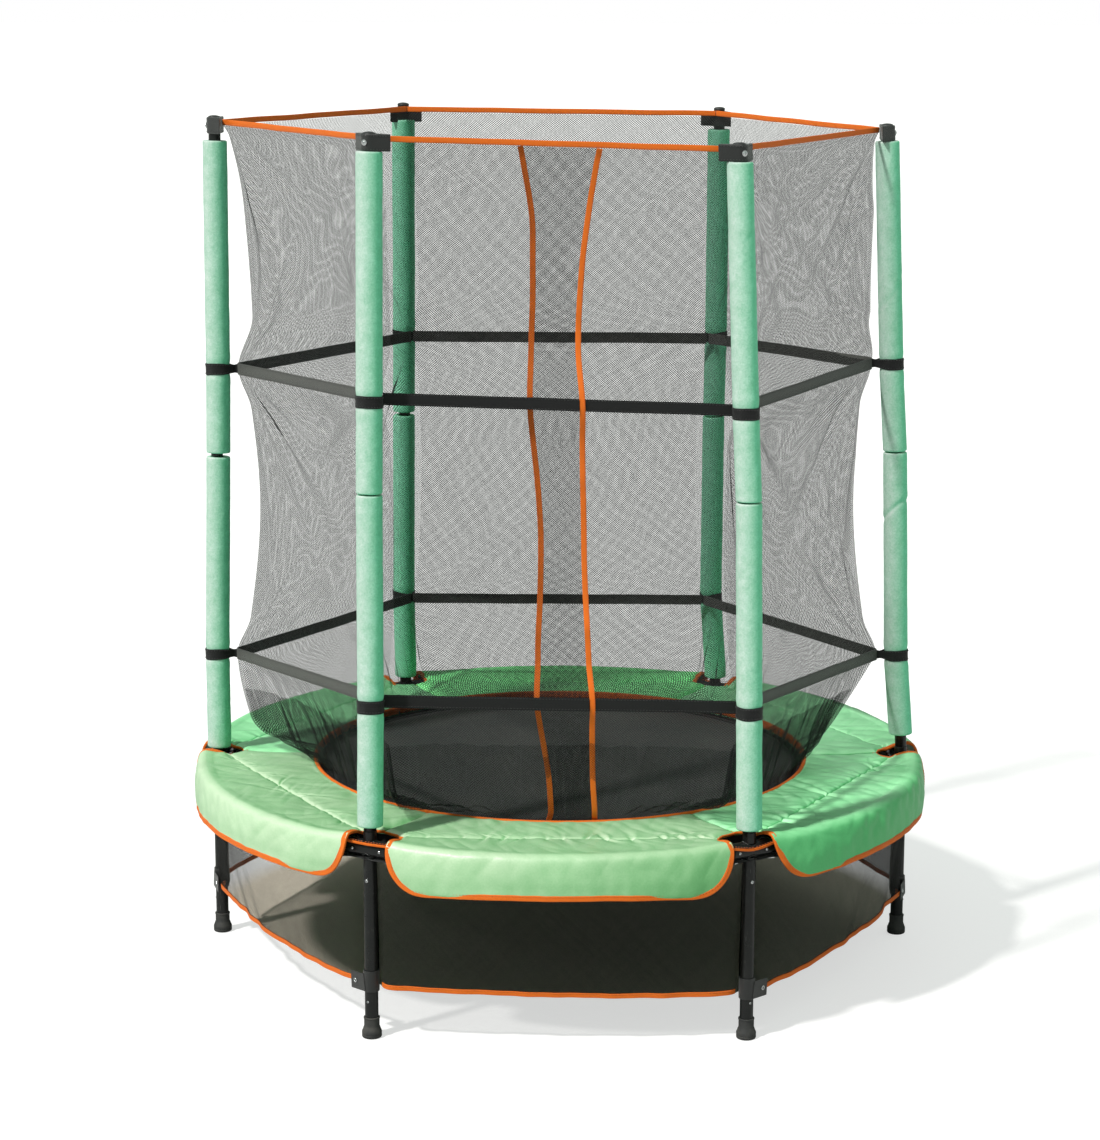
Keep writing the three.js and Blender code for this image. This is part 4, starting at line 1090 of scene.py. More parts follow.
def pad(bay):
    """One panel: padding between an upper and a lower cloth, and the flap that hangs outside the ring."""
    name = BAYS[bay]
    slack = SLACKNESS.get(name, 1.0)
    panel = PANELS.get(name, PLAIN_PANEL)
    inside = 1 - (1 - np.linspace(0, 1, 52)) ** 1.3
    outside = 1 + np.linspace(0, 1, 90)[1:] ** 1.15
    rows = np.concatenate([inside, outside])
    side = np.linspace(-1, 1, 321)
    side = np.sin(side * 1.42) / math.sin(1.42) * 0.35 + side * 0.65
    faces = []
    for top in (True, False):
        radius, angle, height = pad_surface(side, rows, top, panel)
        reach = angle[:, -1:]
        margin = (reach - abs(angle)) * radius
        off_pole = HALF - abs(angle)
        to_pole = np.hypot(radius * np.cos(off_pole) - FRAME_RADIUS, radius * np.sin(off_pole))
        hanging = np.clip((rows - 1.6) / 0.4, 0, 1)[:, None]
        low_end = np.where(angle < 0, *panel[2]) * MM * np.clip((abs(angle) / HALF - 0.2) / 0.65, 0, 1) ** 1.5
        height = height + 9 * MM * bump(to_pole, 0, 0.06) * (1 - hanging) - low_end * hanging
        radius = radius - 5 * MM * bump(margin, 0, 0.06) * hanging
        if top:
            out = np.clip((rows - 1.5) / 0.12, 0, 1)[:, None]
            flap = np.clip((rows - 1.62) / 0.3, 0, 1)[:, None]
            sink = wrinkles(bay, radius, angle, height, margin, out)
            waves = flap_waves(bay, angle, height)
            edge = np.clip(rows, 0, 0.12)[:, None] / 0.12
            height = height - sink * (1 - out) * edge
            calm = np.clip((1.9 - rows) / 0.12, 0, 1)[:, None] * np.clip((margin - 9 * MM) / 0.02, 0, 1)
            radius = radius - sink * out * 0.8 * calm + (waves - 0.8) * 2.2 * MM * flap * slack
            top_radius = radius
        else:
            loose = np.clip((rows - 1.6) / 0.08, 0, 1)[:, None]
            radius = radius + (top_radius - 3 * MM - radius) * loose
            angle = angle + (faces[0][1] - angle) * loose
        faces.append((radius, angle, height))
    (radius, angle, height), (low_radius, low_angle, low_height) = faces
    over = polar(radius, angle, height)
    under = polar(low_radius, low_angle, low_height)
    inside = np.maximum(height, low_height + 2.2 * MM)
    over[..., 2] = np.where((rows < 1.55)[:, None], inside, over[..., 2])
    count, wide = over.shape[:2]
    run = np.concatenate([[0], np.cumsum(np.linalg.norm(np.diff(over[:, wide // 2], axis=0), axis=-1))])
    cloth = np.stack([angle * radius, np.broadcast_to(run[:, None], angle.shape)], -1)
    piece = Piece()
    points = np.concatenate([over, under[::-1]])
    quads = grid_faces(2 * count, wide, wrap_rows=True)
    ends = []
    for column in (0, wide - 1):
        for row in range(count - 1):
            first, second = row * wide + column, (row + 1) * wide + column
            third, fourth = (2 * count - 2 - row) * wide + column, (2 * count - 1 - row) * wide + column
            ends.append([first, second, third, fourth])
    cloth = np.concatenate([cloth, cloth[::-1]])
    piece.add(turned(points.reshape(-1, 3), bay_angle(bay)), quads + ends, cloth)
    made = piece.make(f"pad_cushion_{name}", PAD_CLOTHS[name], "green_vinyl", replaces=f"pad_{name}")
    pad_trim(bay, over, under, rows)


def along_edge(points, outs, inset):
    """A path moved in the surface, away from its edge; the surface lies to the left of the path."""
    ahead = unit(np.gradient(points, axis=0))
    return points + unit(np.cross(outs, ahead)) * inset


def evenly(path, step, *others):
    """The path with points at even steps, and other rows of values taken at the same places."""
    run = run_lengths(path)
    at = np.linspace(0, run[-1], max(int(run[-1] / step), 4))
    return [read_off(rows, run, at) for rows in (path, *others)]


def pad_trim(bay, over, under, rows):
    """The stitched line, and the tape round the flap's edge and along the inner edge."""
    name, way = BAYS[bay], bay_angle(bay)
    first = int(np.argmax(np.hypot(over[:, 0, 0], over[:, 0, 1]) > NOTCH_CENTRE - NOTCH + 2 * MM)) - 1
    half_way = (over + under) / 2
    edge = np.concatenate([half_way[first:, 0], half_way[-1, 1:-1], half_way[first:, -1][::-1]])
    path, = evenly(edge, 4 * MM)
    for again in range(3):
        path[1:-1] = (path[:-2] + 2 * path[1:-1] + path[2:]) / 4
    hanging = np.clip((0.368 - path[:, 2:]) / 0.03, 0, 1)
    outs = unit(unit(path * (1, 1, 0)) * hanging + np.array([0, 0, 1]) * (1.1 - hanging))
    inset = along_edge(path, outs, 3.6 * MM)
    if (inset - path)[len(path) // 2][2] < 0:
        inset = along_edge(path, outs, -3.6 * MM)
    tape, sewn = Piece(), Piece()
    centre = inset + outs * 0.2 * MM
    tape.sweep(turned(centre, way), rounded(10.5 * MM, 5.2 * MM, 18, 5), turned(outs, way))
    line = inset + (inset - path) * 0.75 + outs * 2.9 * MM
    stitches(sewn, turned(line, way), turned(outs, way), 3.4 * MM, 2.4 * MM)
    inner = polar(PAD_INNER + 2.6 * MM, np.linspace(-HALF + 0.001, HALF - 0.001, 90), 0.3617)
    tape.sweep(turned(inner, way), rounded(7.4 * MM, 15.5 * MM, 22, 4), (0, 0, 1))
    top = polar(PAD_INNER + 2.6 * MM, np.linspace(-HALF + 0.002, HALF - 0.002, 90), 0.3696)
    stitches(sewn, turned(top, way), (0, 0, 1), 3.4 * MM, 2.4 * MM)
    tape.make(f"pad_tape_{name}", BINDING, "orange_binding")
    sewn.make(f"pad_tape_stitches_{name}", ORANGE_THREAD, "orange_binding")
    crease = over[int(np.argmin(abs(rows - 1)))][6:-6] + np.array([0, 0, 0.25 * MM])
    path, = evenly(crease, 4 * MM)
    line = stitches(Piece(), turned(path, way), (0, 0, 1), 3.6 * MM, 2.2 * MM, MM)
    line.make(f"pad_stitches_{name}", GREEN_THREAD, "green_vinyl")


# ---------- net: panels, door flaps, bands, loops and top binding ----------

BAND = 0.022
HALF_CELL = 0.0021                      # of the mesh, by which the doubled cloth lies aside
NECK = 0.038                            # inset of the net's corners at a band, from the pole's axis
BINDING_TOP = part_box("net_top_binding")[1].z
TAB_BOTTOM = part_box("net_top_binding")[0].z
# height, inset of a panel's ends from the pole's axis, and its bow
UPRIGHT = ((NET_TOP, 0.016, 0), (1.5538, 0.0269, 0), (1.426, 0.0523, 0.008), (1.2226, 0.066, 0.010),
           (MIDDLE_BAND, NECK, 0), (1.0467, 0.0632, 0.006), (0.8756, 0.080, 0.010), (0.6438, 0.0632, 0.006),
           (LOWER_BAND, NECK, 0))
# height, distance from the middle, bow, and how far the panel has turned from straight to round
DRAPED = ((0.4388, 0.601, 0.002, 0.12), (0.4028, 0.5754, 0, 0.38), (0.3858, 0.5246, 0, 0.7),
          (0.3742, 0.4676, 0, 0.97), (NET_HEM, 0.461, 0, 1))
NET_SHAPE = np.array([(z, pole_distance(z) - inset, bow, 0) for z, inset, bow in UPRIGHT]
                     + list(DRAPED))[::-1]
# heights, and the share of the bay at which each door flap's free edge hangs
OUTER_FLAP_EDGE = ((0.352, 0.44, 0.587, 0.70, 0.93, 1.124, 1.22, 1.37, 1.572),
                   (0.628, 0.60, 0.585, 0.577, 0.567, 0.565, 0.558, 0.573, 0.62))
INNER_FLAP_EDGE = ((0.352, 0.385, 0.60, 0.86, 1.124, 1.42, 1.572),
                   (0.457, 0.476, 0.439, 0.449, 0.425, 0.437, 0.409))


def net_plane(share, height, pulled=(0, 0)):
    """The smooth net in its own bay, whose middle lies along x; pulled straightens the drape at its ends."""
    corner, bow, turn = (eased(height, NET_SHAPE[:, 0], NET_SHAPE[:, column]) for column in (1, 2, 3))
    straight = np.interp(height, (0.3742, LOWER_BAND), (0.4676, pole_distance(LOWER_BAND) - NECK))
    draped = (height > 0.3742) & (height < LOWER_BAND)
    near = pulled[0] * (1 - share) + pulled[1] * share
    corner = corner + np.where(draped, straight - corner, 0) * near
    corner = corner + np.interp(height, (MIDDLE_BAND, 1.2226, 1.426, NET_TOP), (0, 0.038, 0.034, 0)) * near
    angle = (share - 0.5) * SECTOR
    x = corner * math.cos(HALF) - bow * 4 * share * (1 - share)
    y = (2 * share - 1) * corner * math.sin(HALF)
    x = x + (corner * np.cos(angle) - x) * turn
    y = y + (corner * np.sin(angle) - y) * turn
    taut = np.interp(height, (NET_HEM, 0.3742, LOWER_BAND), (0.461, 0.4665, 0.536))
    loose = (4 * share * (1 - share)) ** 0.8 * np.clip((LOWER_BAND - height) / 0.03, 0, 1)
    scale = 1 - loose * (1 - np.minimum(taut / np.maximum(np.hypot(x, y * 0.6), 1e-6), 1))
    return np.stack([x * scale, y * scale, height], -1)


def folds(share, height, seed, strength):
    """How far folds and slack push the net out; nothing at its ends and bands."""
    width = 0.6
    chance = np.random.default_rng(seed)
    push = np.zeros_like(height)
    anchors = [(NET_TOP, -1, 1.0), (MIDDLE_BAND, 1, 0.8), (MIDDLE_BAND, -1, 0.9), (LOWER_BAND, 1, 0.8)]
    for end in (0, 1):
        for level, way, weight in anchors:
            dx = abs(share - end) * width + 0.004
            dz = (height - level) * way
            reach = np.hypot(dx, dz)
            turn = np.arctan2(dx, np.maximum(dz, 1e-4))
            fan = np.zeros_like(height)
            for fold in range(5):
                at, slim = chance.uniform(0.15, 1.3), chance.uniform(0.03, 0.07)
                deep = chance.uniform(0.5, 1.1) * chance.choice([-1, 1, 1])
                fan += deep * bump(turn, at, slim + 0.006 / reach)
            size = np.minimum(reach * 0.09, 0.013) * np.exp(-(reach / chance.uniform(0.18, 0.34)) ** 2)
            push += np.where(dz > 0, fan * size * weight, 0)
    spot = np.stack([share * width + seed, height, np.zeros_like(height)], -1)
    push += 0.006 * rough(spot, (6, 2.5, 1), seed) + 0.001 * rough(spot, (30, 9, 1), seed + 3)
    quiet = np.minimum(np.minimum(share, 1 - share) / 0.12, 1)
    for level in (NET_TOP, MIDDLE_BAND, LOWER_BAND):
        quiet = quiet * (1 - bump(height, level, 0.035) * 0.97)
    quiet = quiet * np.clip((height - 0.46) / 0.1, 0, 1)
    along = np.stack([share * width, height * 0.2, np.full_like(height, seed)], -1)
    creases = 0.22 - np.abs(rough(along, (30, 16, 1), seed + 2))
    gathers = rough(along, (42, 6, 1), seed) - 0.4 - 1.3 * creases
    lower = bump(height, 0.44, 0.07) * 0.013 + np.clip((0.40 - height) / 0.02, 0, 1) * 0.0035
    return push * quiet * strength + gathers * lower * np.minimum(np.minimum(share, 1 - share) / 0.05, 1)


def net_surface(bay, share, height, seed, stand_off=0.0, strength=1.0):
    """Points of a bay's net with its folds, at shares of the bay and heights, and the ways they face."""
    pulled = {"right_front": (0, 0.75), "right_back": (0.75, 0)}.get(BAYS[bay], (0, 0))
    base = net_plane(share, height, pulled)
    smooth = net_plane(share, height + MM, pulled) - base
    near = np.clip(share, 0, 0.99)
    beside = net_plane(near + 0.01, height, pulled) - net_plane(near, height, pulled)
    out = unit(np.cross(beside, smooth))
    off = folds(share, height, seed, strength) + stand_off
    return turned(base + out * off[..., None], bay_angle(bay)), turned(out, bay_angle(bay))


def net_heights(step=8 * MM):
    """Heights of the net's rows from top to hem, close together where it gathers over the pad."""
    low = np.linspace(NET_HEM, 0.44, 22)
    return np.concatenate([low, np.linspace(0.44, NET_TOP, int((NET_TOP - 0.44) / step))[1:]])[::-1]


def net_sheet(bay, start, end, seed, stand_off=0.0, columns=72):
    """A panel between two shares of the bay, which may change with height."""
    height = net_heights()[:, None] * np.ones(columns)
    first = eased(height[:, 0], *start) if isinstance(start, tuple) else np.full(len(height), start)
    last = eased(height[:, 0], *end) if isinstance(end, tuple) else np.full(len(height), end)
    share = first[:, None] + (last - first)[:, None] * np.linspace(0, 1, columns)[None]
    gap = np.interp(height, (NET_HEM, 0.39), (0.35, 1)) * stand_off
    return (share, height) + net_surface(bay, share, height, seed, gap)


def net_piece(bay, name, part, start, end, stand_off=0.0, columns=72):
    """A panel or door flap, doubled at its foot by a second cloth inside."""
    seed = bay * 11 + 3 + (5 if stand_off else 0)
    share, height, points, out = net_sheet(bay, start, end, seed, stand_off, columns)
    cloth = np.stack([share * 0.62, height], -1)
    whole = Piece().sheet(points, cloth)
    low = height[:, 0] < (0.50 if BAYS[bay] in ("front", "left_front", "right_front") else NET_HEM + 0.01)
    doubled, push = net_surface(bay, share[low], height[low], seed + 29, -2.5 * MM)
    inward = 3 * MM * np.clip((height[low] - 0.37) / 0.05, 0, 1)
    whole.sheet(doubled - push * inward[..., None], cloth[low] + HALF_CELL)
    made = whole.make(name, NET_CLOTHS[BAYS[bay]], "net_mesh", body=None, replaces=part)
    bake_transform(made)
    return points, out


def edge_tape(name, points, out, finish, thread, slot, width=10 * MM, into=1):
    """A tape folded over a flap's free edge, with its stitches; the first column of points is the edge."""
    path, outs = evenly(points[:, 0], 6 * MM, out[:, 0])
    inward = unit(np.cross(unit(np.gradient(path, axis=0)), unit(outs))) * into
    height = path[:, 2]
    wander = 1.2 * MM * rough(np.stack([height, height * 0 + into, height * 0], -1), (14, 1, 1), 2)
    centre = path + inward * (width * 0.3 + wander[:, None])
    tape = Piece().sweep(centre, rounded(width, 2.2 * MM, 14, 6), unit(outs))
    made = tape.make(name, finish, slot, body=None)
    row = Piece()
    for face in (1, -1):
        line = centre + inward * width * 0.32 + unit(outs) * face * 1.15 * MM
        stitches(row, line, unit(outs) * face)
    sewn = row.make(name + "_stitches", thread, slot, body=None)
    for piece in (made, sewn):
        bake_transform(piece)


def band(bay, level, start, end, stand_off):
    """A strip of webbing sewn along a panel."""
    share = np.linspace(start, end, 60)
    wave = 0.8 * MM * rough(np.stack([share * 5 + bay, share * 0 + level * 9, share * 0], -1), 1.0, 4)
    points, out = net_surface(bay, share, np.full_like(share, level), bay, stand_off)
    points = points + np.array([0, 0, 1]) * wave[:, None]
    made = Piece().sweep(points, rounded(1.5 * MM, BAND, 20, 8), (0, 0, 1))
    sewn = Piece()
    for side in (-1, 1):
        line = points + out * 0.85 * MM + np.array([0, 0, side * BAND * 0.38])
        stitches(sewn, line, out, 3.4 * MM)
    return made, sewn


def loop(k, level):
    """The webbing round a foam sleeve, drawn together into a neck that ends at the net's corner."""
    axis = pole_distance(level)
    radius = FOAM_RADIUS - 0.6 * MM
    neck = 0.031                        # where the webbing's two sides meet, inward of the pole's axis
    tangent = math.pi - math.acos(radius / neck)
    arc = np.linspace(-tangent, tangent, 56)
    x, y = radius * math.cos(tangent), radius * math.sin(tangent)
    path = [(-NECK, -1.1 * MM), (-0.034, -MM), (-neck, -MM)]
    path += [(-neck + (x + neck) * t, -MM - (y - MM) * t) for t in (0.33, 0.66)]
    flat = np.array(path + [(radius * math.cos(a), radius * math.sin(a)) for a in arc]
                    + [(x, -y) for x, y in path[::-1]])
    rise = 1.6 * MM * rough(np.column_stack([flat * 30, flat[:, 0] * 0]), 1.0, k + level * 5)
    points = np.column_stack([axis + flat[:, 0], flat[:, 1], level + rise])
    tall = np.interp(flat[:, 0], (-NECK, -0.03, -0.012, 0.03), (0.8, 0.66, 0.95, 1))
    shape = rounded(1.5 * MM, BAND, 24, 7)[None] * np.stack([np.ones_like(tall), tall], -1)[:, None]
    ripple = 0.5 * MM * rough(np.stack([np.broadcast_to(np.arange(len(flat))[:, None], (len(flat), 24)) * 0.5,
                                        shape[..., 1] * 160, np.full((len(flat), 24), k * 1.3)], -1), 1.0, 6)
    shape = shape + np.stack([ripple, ripple * 0], -1)
    piece = Piece().sweep(turned(points, corner_angle(k)), shape, (0, 0, 1))
    sewn = Piece()
    for side in (-1, 1):
        line = points[3:-3].copy()
        line[:, :2] += unit(line[:, :2] - np.array([axis, 0])) * 1.15 * MM
        line[:, 2] += side * BAND * 0.37 * tall[3:-3]
        outs = np.column_stack([unit(line[:, :2] - np.array([axis, 0])), np.zeros(len(line))])
        stitches(sewn, turned(line, corner_angle(k)), turned(outs, corner_angle(k)))
    return piece, sewn


def merged(pieces):
    """Several pieces in the making as one."""
    whole = Piece()
    for piece in pieces:
        for points, cloth in zip(piece.points, piece.cloth):
            whole.points.append(points)
            whole.cloth.append(cloth)
        whole.faces += [[corner + whole.count for corner in face] for face in piece.faces]
        whole.finish += piece.finish
        whole.count += piece.count
    return whole


def webbing_ring(level, node, label):
    """A band of webbing round the whole net, with its loops round the sleeves."""
    parts, threads = [], []
    for bay in range(len(BAYS)):
        runs = [(0.004, 0.996, 1.6 * MM)]
        if bay == 0:
            outer, inner = (float(eased(level, *edge)) for edge in (OUTER_FLAP_EDGE, INNER_FLAP_EDGE))
            runs = [(0.004, outer - 0.004, 5.4 * MM), (inner, 0.996, 1.6 * MM)]
        for start, end, stand_off in runs:
            strip, sewn = band(bay, level, start, end, stand_off)
            strip.finish = [WEBBING_FINISHES[bay]] * len(strip.faces)
            parts.append(strip)
            threads.append(sewn)
    for k in range(len(CORNERS)):
        strap, sewn = loop(k, level)
        parts.append(strap)
        threads.append(sewn)
    cloths = [WEBBING, SUNLIT_WEBBING, LIT_BACK_WEBBING]
    merged(parts).make(f"{label}_webbing", cloths, "black_webbing", replaces=node)
    merged(threads).make(f"{label}_stitches", BLACK_THREAD, "black_webbing")


def top_tape():
    """The orange binding along the net's top edge, all the way round inside the corner tabs."""
    tape, sewn = Piece(), Piece()
    tall = 10.5 * MM
    for bay in range(len(BAYS)):
        share = np.linspace(0.002, 0.998, 90)
        wave = rough(np.stack([share * 7, share * 0 + bay, share * 0], -1), 1.0, 12)
        points, out = net_surface(bay, share, np.full_like(share, NET_TOP), bay, 0.5 * MM, 0)
        points = points + out * (wave * 0.8 * MM)[:, None]
        centre = points + np.array([0, 0, tall * 0.55]) + np.array([0, 0, 0.8 * MM]) * wave[:, None]
        tape.sweep(centre, rounded(3.4 * MM, tall, 24, 5), (0, 0, 1))
        for side in (-1, 1):
            line = centre + out * side * 1.75 * MM + np.array([0, 0, -tall * 0.28])
            stitches(sewn, line, out * side, 3.4 * MM, 2.4 * MM)
    tape.make("top_binding", BINDING, "orange_binding", replaces="net_top_binding")
    sewn.make("top_binding_stitches", ORANGE_THREAD, "orange_binding")


def corner_tab(k):
    """The folded cloth tab that holds the net's top on a pole, with its screw."""
    low, high = TAB_BOTTOM, BINDING_TOP - 0.5 * MM
    if CORNERS[k].startswith("back"):
        low, high = low - 5 * MM, high - 5 * MM
    axis = pole_distance((low + high) / 2)
    half, round_radius, bore = 0.036, 0.0148, POLE + 0.5 * MM
    back = -0.0128
    distance = math.hypot(back, half)
    reach = math.atan2(half, -back)
    turn = math.pi - reach - math.acos(round_radius / distance)
    arc = [(round_radius * math.cos(a), round_radius * math.sin(a)) for a in np.linspace(-turn, turn, 40)]
    corner = [(-0.0129, 0.0), (back, -half * 0.5), (back, -half)]
    line = np.array(corner + arc + [(x, -y) for x, y in corner[:0:-1]] + corner[:1])
    run = run_lengths(line)
    at = np.linspace(0, run[-1], 121)[:-1]
    outline = read_off(line, run, at)
    for again in range(2):
        outline = (np.roll(outline, 1, 0) + 2 * outline + np.roll(outline, -1, 0)) / 4
    angle = np.arctan2(outline[:, 1], outline[:, 0])
    hole = np.stack([bore * np.cos(angle), bore * np.sin(angle)], -1)
    lean = lambda z: -(z - (low + high) / 2) * math.tan(LEAN)
    levels = [(low, None), (low, -1.2), (low + MM, -0.2), (low + 3 * MM, 0)]
    levels += [(low + (high - low) * t, 0) for t in np.linspace(0.16, 0.84, 12)]
    levels += [(high - 3 * MM, 0), (high - MM, -0.2), (high, -1.2), (high, None)]
    rows = []
    for z, pull in levels:
        flat = hole if pull is None else outline + unit(outline) * pull * MM
        if pull is not None:
            spot = np.column_stack([outline * 46, np.full(len(outline), z * 40 + k * 5)])
            flat = flat + unit(outline) * (0.7 * MM * rough(spot, 1.0, 7))[:, None]
        rows.append(np.column_stack([axis + flat[:, 0] + lean(z), flat[:, 1], np.full(len(flat), z)]))
    points = np.stack(rows)
    cloth = np.stack(np.broadcast_arrays(at[None], points[:, :, 2]), -1)
    piece = Piece().add(turned(points.reshape(-1, 3), corner_angle(k)),
                        grid_faces(len(points), len(outline), wrap_rows=True, wrap_columns=True), cloth)
    sewn, screw = Piece(), Piece()
    for z in (low + 3.4 * MM, high - 3.4 * MM):
        around = outline + unit(outline) * 0.35 * MM
        path = np.column_stack([axis + around[:, 0] + lean(z), around[:, 1], np.full(len(around), z)])
        outs = np.column_stack([unit(outline), np.zeros(len(outline))])
        stitches(sewn, turned(path[8:-8], corner_angle(k)), turned(outs[8:-8], corner_angle(k)), 3 * MM)
    place = facing_outward(round_radius + 0.3 * MM, 0)
    shift = np.array([axis - FRAME_RADIUS, 0, (low + high) / 2])
    screw_head(screw, lambda points: at_corner(place(points) + shift, k), 3.2 * MM, washer=5.2 * MM)
    piece.make(f"corner_tab_{CORNERS[k]}", TAB_CLOTH, "black_webbing")
    sewn.make(f"corner_tab_stitches_{CORNERS[k]}", BLACK_THREAD, "black_webbing")
    screw.make(f"corner_tab_screw_{CORNERS[k]}", CHROME, "black_plastic")


def net():
    """Five closed panels, and a bay with two door flaps that overlap."""
    for bay in range(1, len(BAYS)):
        net_piece(bay, f"net_panel_{BAYS[bay]}", f"net_{BAYS[bay]}", 0.0, 1.0)
    points, out = net_piece(0, "door_flap_outer", "net_door_outer", 0.0, OUTER_FLAP_EDGE, 4 * MM, 50)
    edge_tape("door_tape_outer", points[:, ::-1], out[:, ::-1], BINDING, ORANGE_THREAD, "orange_binding",
              into=-1)
    points, out = net_piece(0, "door_flap_inner", "net_door_inner", INNER_FLAP_EDGE, 1.0, 0.0, 50)
    edge_tape("door_tape_inner", points, out, BINDING, ORANGE_THREAD, "orange_binding")


# ---------- skirt ----------

SKIRT_TOP_RADIUS = 0.6824
SKIRT_FALL = RING_HEIGHT - RING_TUBE
SKIRT_BULGE = 0.030
SKIRT_CORNER = FRAME_RADIUS + (LEG + 0.3 * MM) / math.cos(HALF)
TAB_LOW, TAB_HIGH = SKIRT_LOW, SKIRT_LOW + 0.038
HEM = 0.1
HEM_DROPS, TOP_DIPS = (5, 17, 12, 0, 0, 0), (1, 9, 6, 4, 4, 4)    # millimetres, at each corner


def skirt_surface(bay, share, height, stand_off=0.0):
    """The skirt hangs outside the ring, and passes behind the legs."""
    tilt = (share - 0.5) * SECTOR
    straight = SKIRT_CORNER * math.cos(HALF) / np.cos(tilt) + SKIRT_BULGE * 4 * share * (1 - share)
    fall = np.clip((SKIRT_FALL - height) / (SKIRT_FALL - HEM), 0, 1)
    radius = SKIRT_TOP_RADIUS + (straight - SKIRT_TOP_RADIUS) * fall
    near = np.minimum(share, 1 - share)
    radius = radius - 0.0285 * bump(near, 0, 0.034) * np.clip((0.345 - height) / 0.012, 0, 1)
    quiet = np.minimum(near / 0.07, 1) * fall
    spot = np.stack([share * 0.68 + bay * 3, height * 0.25, np.zeros_like(height)], -1)
    wave = 0.007 * rough(spot, (9, 5, 1), 21) + 0.004 * rough(spot, (24, 10, 1), 22) * fall
    drawn = 0.005 * bump(near, 0, 0.08) * np.sin(height * 60 + bay + share * 20)
    after = (bay + 1) % len(BAYS)
    drop = HEM_DROPS[bay] * (1 - share) + HEM_DROPS[after] * share
    dip = TOP_DIPS[bay] * bump(share, 0, 0.055) + TOP_DIPS[after] * bump(share, 1, 0.055)
    height = height - MM * (drop * fall**1.5 + dip * np.clip((height - 0.333) / 0.02, 0, 1))
    return turned(polar(radius + wave * quiet + drawn * quiet + stand_off, tilt, height), bay_angle(bay))


def skirt():
    """Mesh cloth round the legs, open at the sockets, with its tapes, tabs, eyelets and corner strips, and
    dark patches under the notches as painted shade.
    """
    cloth, tape, sewn, tabs, rivets, strips = (Piece() for unused in range(6))
    cut = 0.062                         # share of a bay that is open at each socket
    share = np.unique(np.concatenate([np.linspace(0, cut, 9), np.linspace(cut, 1 - cut, 67),
                                      np.linspace(1 - cut, 1, 9)]))
    tall = np.concatenate([np.linspace(SKIRT_HIGH, 0.331, 8), np.linspace(0.331, HEM, 38)[1:]])
    for bay in range(len(BAYS)):
        across, height = np.meshgrid(share, tall)
        points = skirt_surface(bay, across, height)
        open_here = (np.minimum(across, 1 - across)[:-1, :-1] < cut - 1e-6) & (
            np.minimum(across, 1 - across)[:-1, 1:] < cut + 1e-6) & (height[1:, :-1] > 0.3305)
        keep = ~open_here.ravel()
        faces = [face for face, kept in zip(grid_faces(*points.shape[:2]), keep) if kept]
        # the bays out of the sun take the denser mesh, as painted shade
        sunny = BAYS[bay] in ("left_front", "left_back")
        cloth.add(points, faces, np.stack([across * 0.68 + bay, height], -1), finish=0 if sunny else 1)
        outs = turned(polar(1.0, np.linspace(-HALF, HALF, 90), 0.0), bay_angle(bay))
        for level, wide, ends in ((HEM + 4.6 * MM, 9 * MM, 0.03), (SKIRT_HIGH - 4 * MM, 10 * MM, 0.0)):
            at = np.linspace(ends, 1 - ends, 90)
            sag = 0.6 * MM * rough(np.stack([at * 9, at * 0 + bay, at * 0], -1), 1.0, 5)
            line = skirt_surface(bay, at, np.full(90, level)) + np.array([0, 0, 1]) * sag[:, None]
            if level > 0.3:
                for first, last, part in ((0, 7, 4.5 * MM), (6, 84, wide), (83, 90, 4.5 * MM)):
                    lowered = line[first:last] - (0, 0, (wide - part) * 0.3)
                    tape.sweep(lowered, rounded(3 * MM, part, 18, 6), (0, 0, 1))
            else:
                tape.sweep(line, rounded(3 * MM, wide, 18, 6), (0, 0, 1))
            row = line + outs * 1.7 * MM + np.array([0, 0, wide * 0.32])
            stitches(sewn, row, outs, 3.4 * MM, 2.4 * MM)
        for end, way in ((0.0, 1), (1.0, -1)):
            at = end + way * np.linspace(0, 0.012, 6)
            across, height = np.meshgrid(at, np.linspace(0.329, HEM, 40))
            strips.sheet(skirt_surface(bay, across, height, -0.6 * MM), np.stack([across * 0.68, height], -1))
    for k in range(len(CORNERS)):
        skirt_tab(k, tabs, rivets)
        # dark cloth under each notch, as painted shade
        notch_shade_patch(k, strips)
    panel = cloth.make("skirt_cloth", [SKIRT_CLOTH, SHADED_SKIRT_CLOTH], "skirt_mesh", replaces="skirt")
    tape.make("skirt_tape", BINDING, "orange_binding")
    sewn.make("skirt_stitches", ORANGE_THREAD, "orange_binding")
    tabs.make("skirt_tabs", TAB_CLOTH, "black_webbing")
    strips.make("skirt_corner_strips_and_shade_patches", TAB_CLOTH, "black_webbing")
    rivets.make("skirt_eyelets", CHROME, "black_steel")


def notch_shade_patch(k, piece):
    """Painted shade under a notch: a dark patch from the ring to the skirt, round the leg, and a facing
    behind it, that close the view to the floor there.
    """
    angle = np.linspace(0, math.tau, 72, endpoint=False)
    x, y = np.cos(angle), np.sin(angle)
    far = np.minimum(np.where(x > 0, 0.014, 0.07) / np.maximum(abs(x), 1e-6), 0.09 / np.maximum(abs(y), 1e-6))
    reach = LEG + 0.6 * MM + (far - LEG - 0.6 * MM) * np.linspace(0, 1, 10)[:, None]
    height = 0.332 - 0.06 * np.maximum(reach - 0.03, 0) + 0.8 * MM * np.sin(5 * angle + k)
    piece.sheet(at_corner(polar(reach, angle[None], height).reshape(-1, 3), k).reshape(10, 72, 3),
                polar(reach, angle[None], 0.0)[..., :2], wrap_columns=True)
    side, tall = np.meshgrid(np.linspace(-0.074, 0.074, 48), np.linspace(0.331, 0.361, 6))
    wall = np.stack([-0.019 - 0.036 * (1 - (side / 0.074) ** 2), side, tall], -1)
    piece.sheet(at_corner(wall.reshape(-1, 3), k).reshape(wall.shape), np.stack([side, tall], -1))


